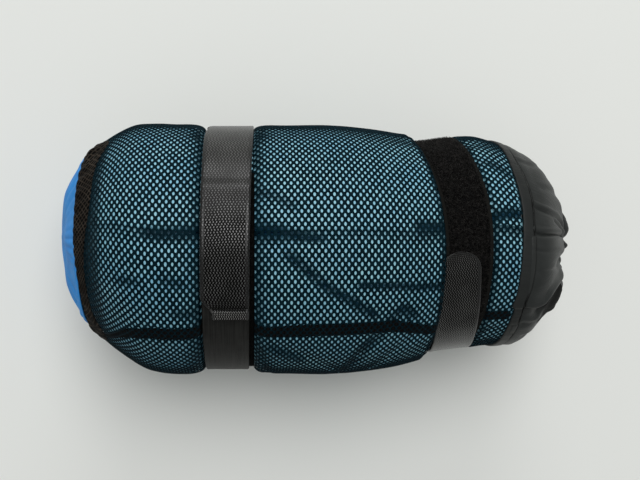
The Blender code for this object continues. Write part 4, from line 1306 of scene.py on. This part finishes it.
# Lamps, aimed at the roll: name, place, size, power
LAMPS = [("ceiling", (0.10, 0.95, 2.40), 1.9, 40.0), ("window", (0.10, 5.00, 2.20), 3.0, 80.0)]
LAMP_AIM = (0.0, 0.0, 0.06)
CAMERA_PLACE = (-0.0409, 0.0055, 0.5333)
CAMERA_LENS = 42.2
CAMERA_SHIFT = 0.1133


def build_floor():
    mesh = bpy.data.meshes.new("floor")
    corners = [(x * FLOOR_REACH, y * FLOOR_REACH, 0) for x, y in ((-1, -1), (1, -1), (1, 1), (-1, 1))]
    mesh.from_pydata(corners, [], [(0, 1, 2, 3)])
    mesh.materials.append(Graph("pale_floor", FLOOR_COLOUR, 0.75, Specular_IOR_Level=0.2).material)
    add_object("floor", mesh)


def build_world():
    """Dim studio light all round; what is seen past the floor has the floor's colour."""
    world = bpy.data.worlds.new("studio")
    bpy.context.scene.world = world
    world.use_nodes = True
    nodes, links = world.node_tree.nodes, world.node_tree.links
    back = nodes["Background"]
    back.inputs[0].default_value = STUDIO_COLOUR
    back.inputs[1].default_value = STUDIO_STRENGTH
    seen = nodes.new("ShaderNodeBackground")
    seen.inputs[0].default_value = (*FLOOR_COLOUR, 1.0)
    rays = nodes.new("ShaderNodeLightPath")
    both = nodes.new("ShaderNodeMath")
    both.operation = "MAXIMUM"
    mix = nodes.new("ShaderNodeMixShader")
    for source, target in (
        (rays.outputs["Is Camera Ray"], both.inputs[0]),
        (rays.outputs["Is Transmission Ray"], both.inputs[1]),
        (both.outputs[0], mix.inputs[0]), (back.outputs[0], mix.inputs[1]), (seen.outputs[0], mix.inputs[2]),
        (mix.outputs[0], nodes["World Output"].inputs[0]),
    ):
        links.new(source, target)


def add_lamp(name, place_at, size, power):
    lamp = bpy.data.lights.new(name, "AREA")
    lamp.shape = "DISK"
    lamp.size = size
    lamp.energy = power
    made = add_object(name, lamp)
    made.location = place_at
    made.rotation_euler = (Vector(LAMP_AIM) - Vector(place_at)).to_track_quat("-Z", "Y").to_euler()


def build_camera():
    lens = bpy.data.cameras.new("camera")
    lens.lens = CAMERA_LENS
    lens.sensor_width = 36.0
    lens.sensor_fit = "HORIZONTAL"
    lens.shift_x = CAMERA_SHIFT
    lens.clip_start = 0.01
    made = add_object("camera", lens)
    made.location = CAMERA_PLACE
    bpy.context.scene.camera = made


bpy.context.scene.view_settings.view_transform = "Standard"
build_camera()
build_floor()
build_world()
for lamp_values in LAMPS:
    add_lamp(*lamp_values)
build_net()
build_mat()
build_straps()
build_ends()
dress_valve()
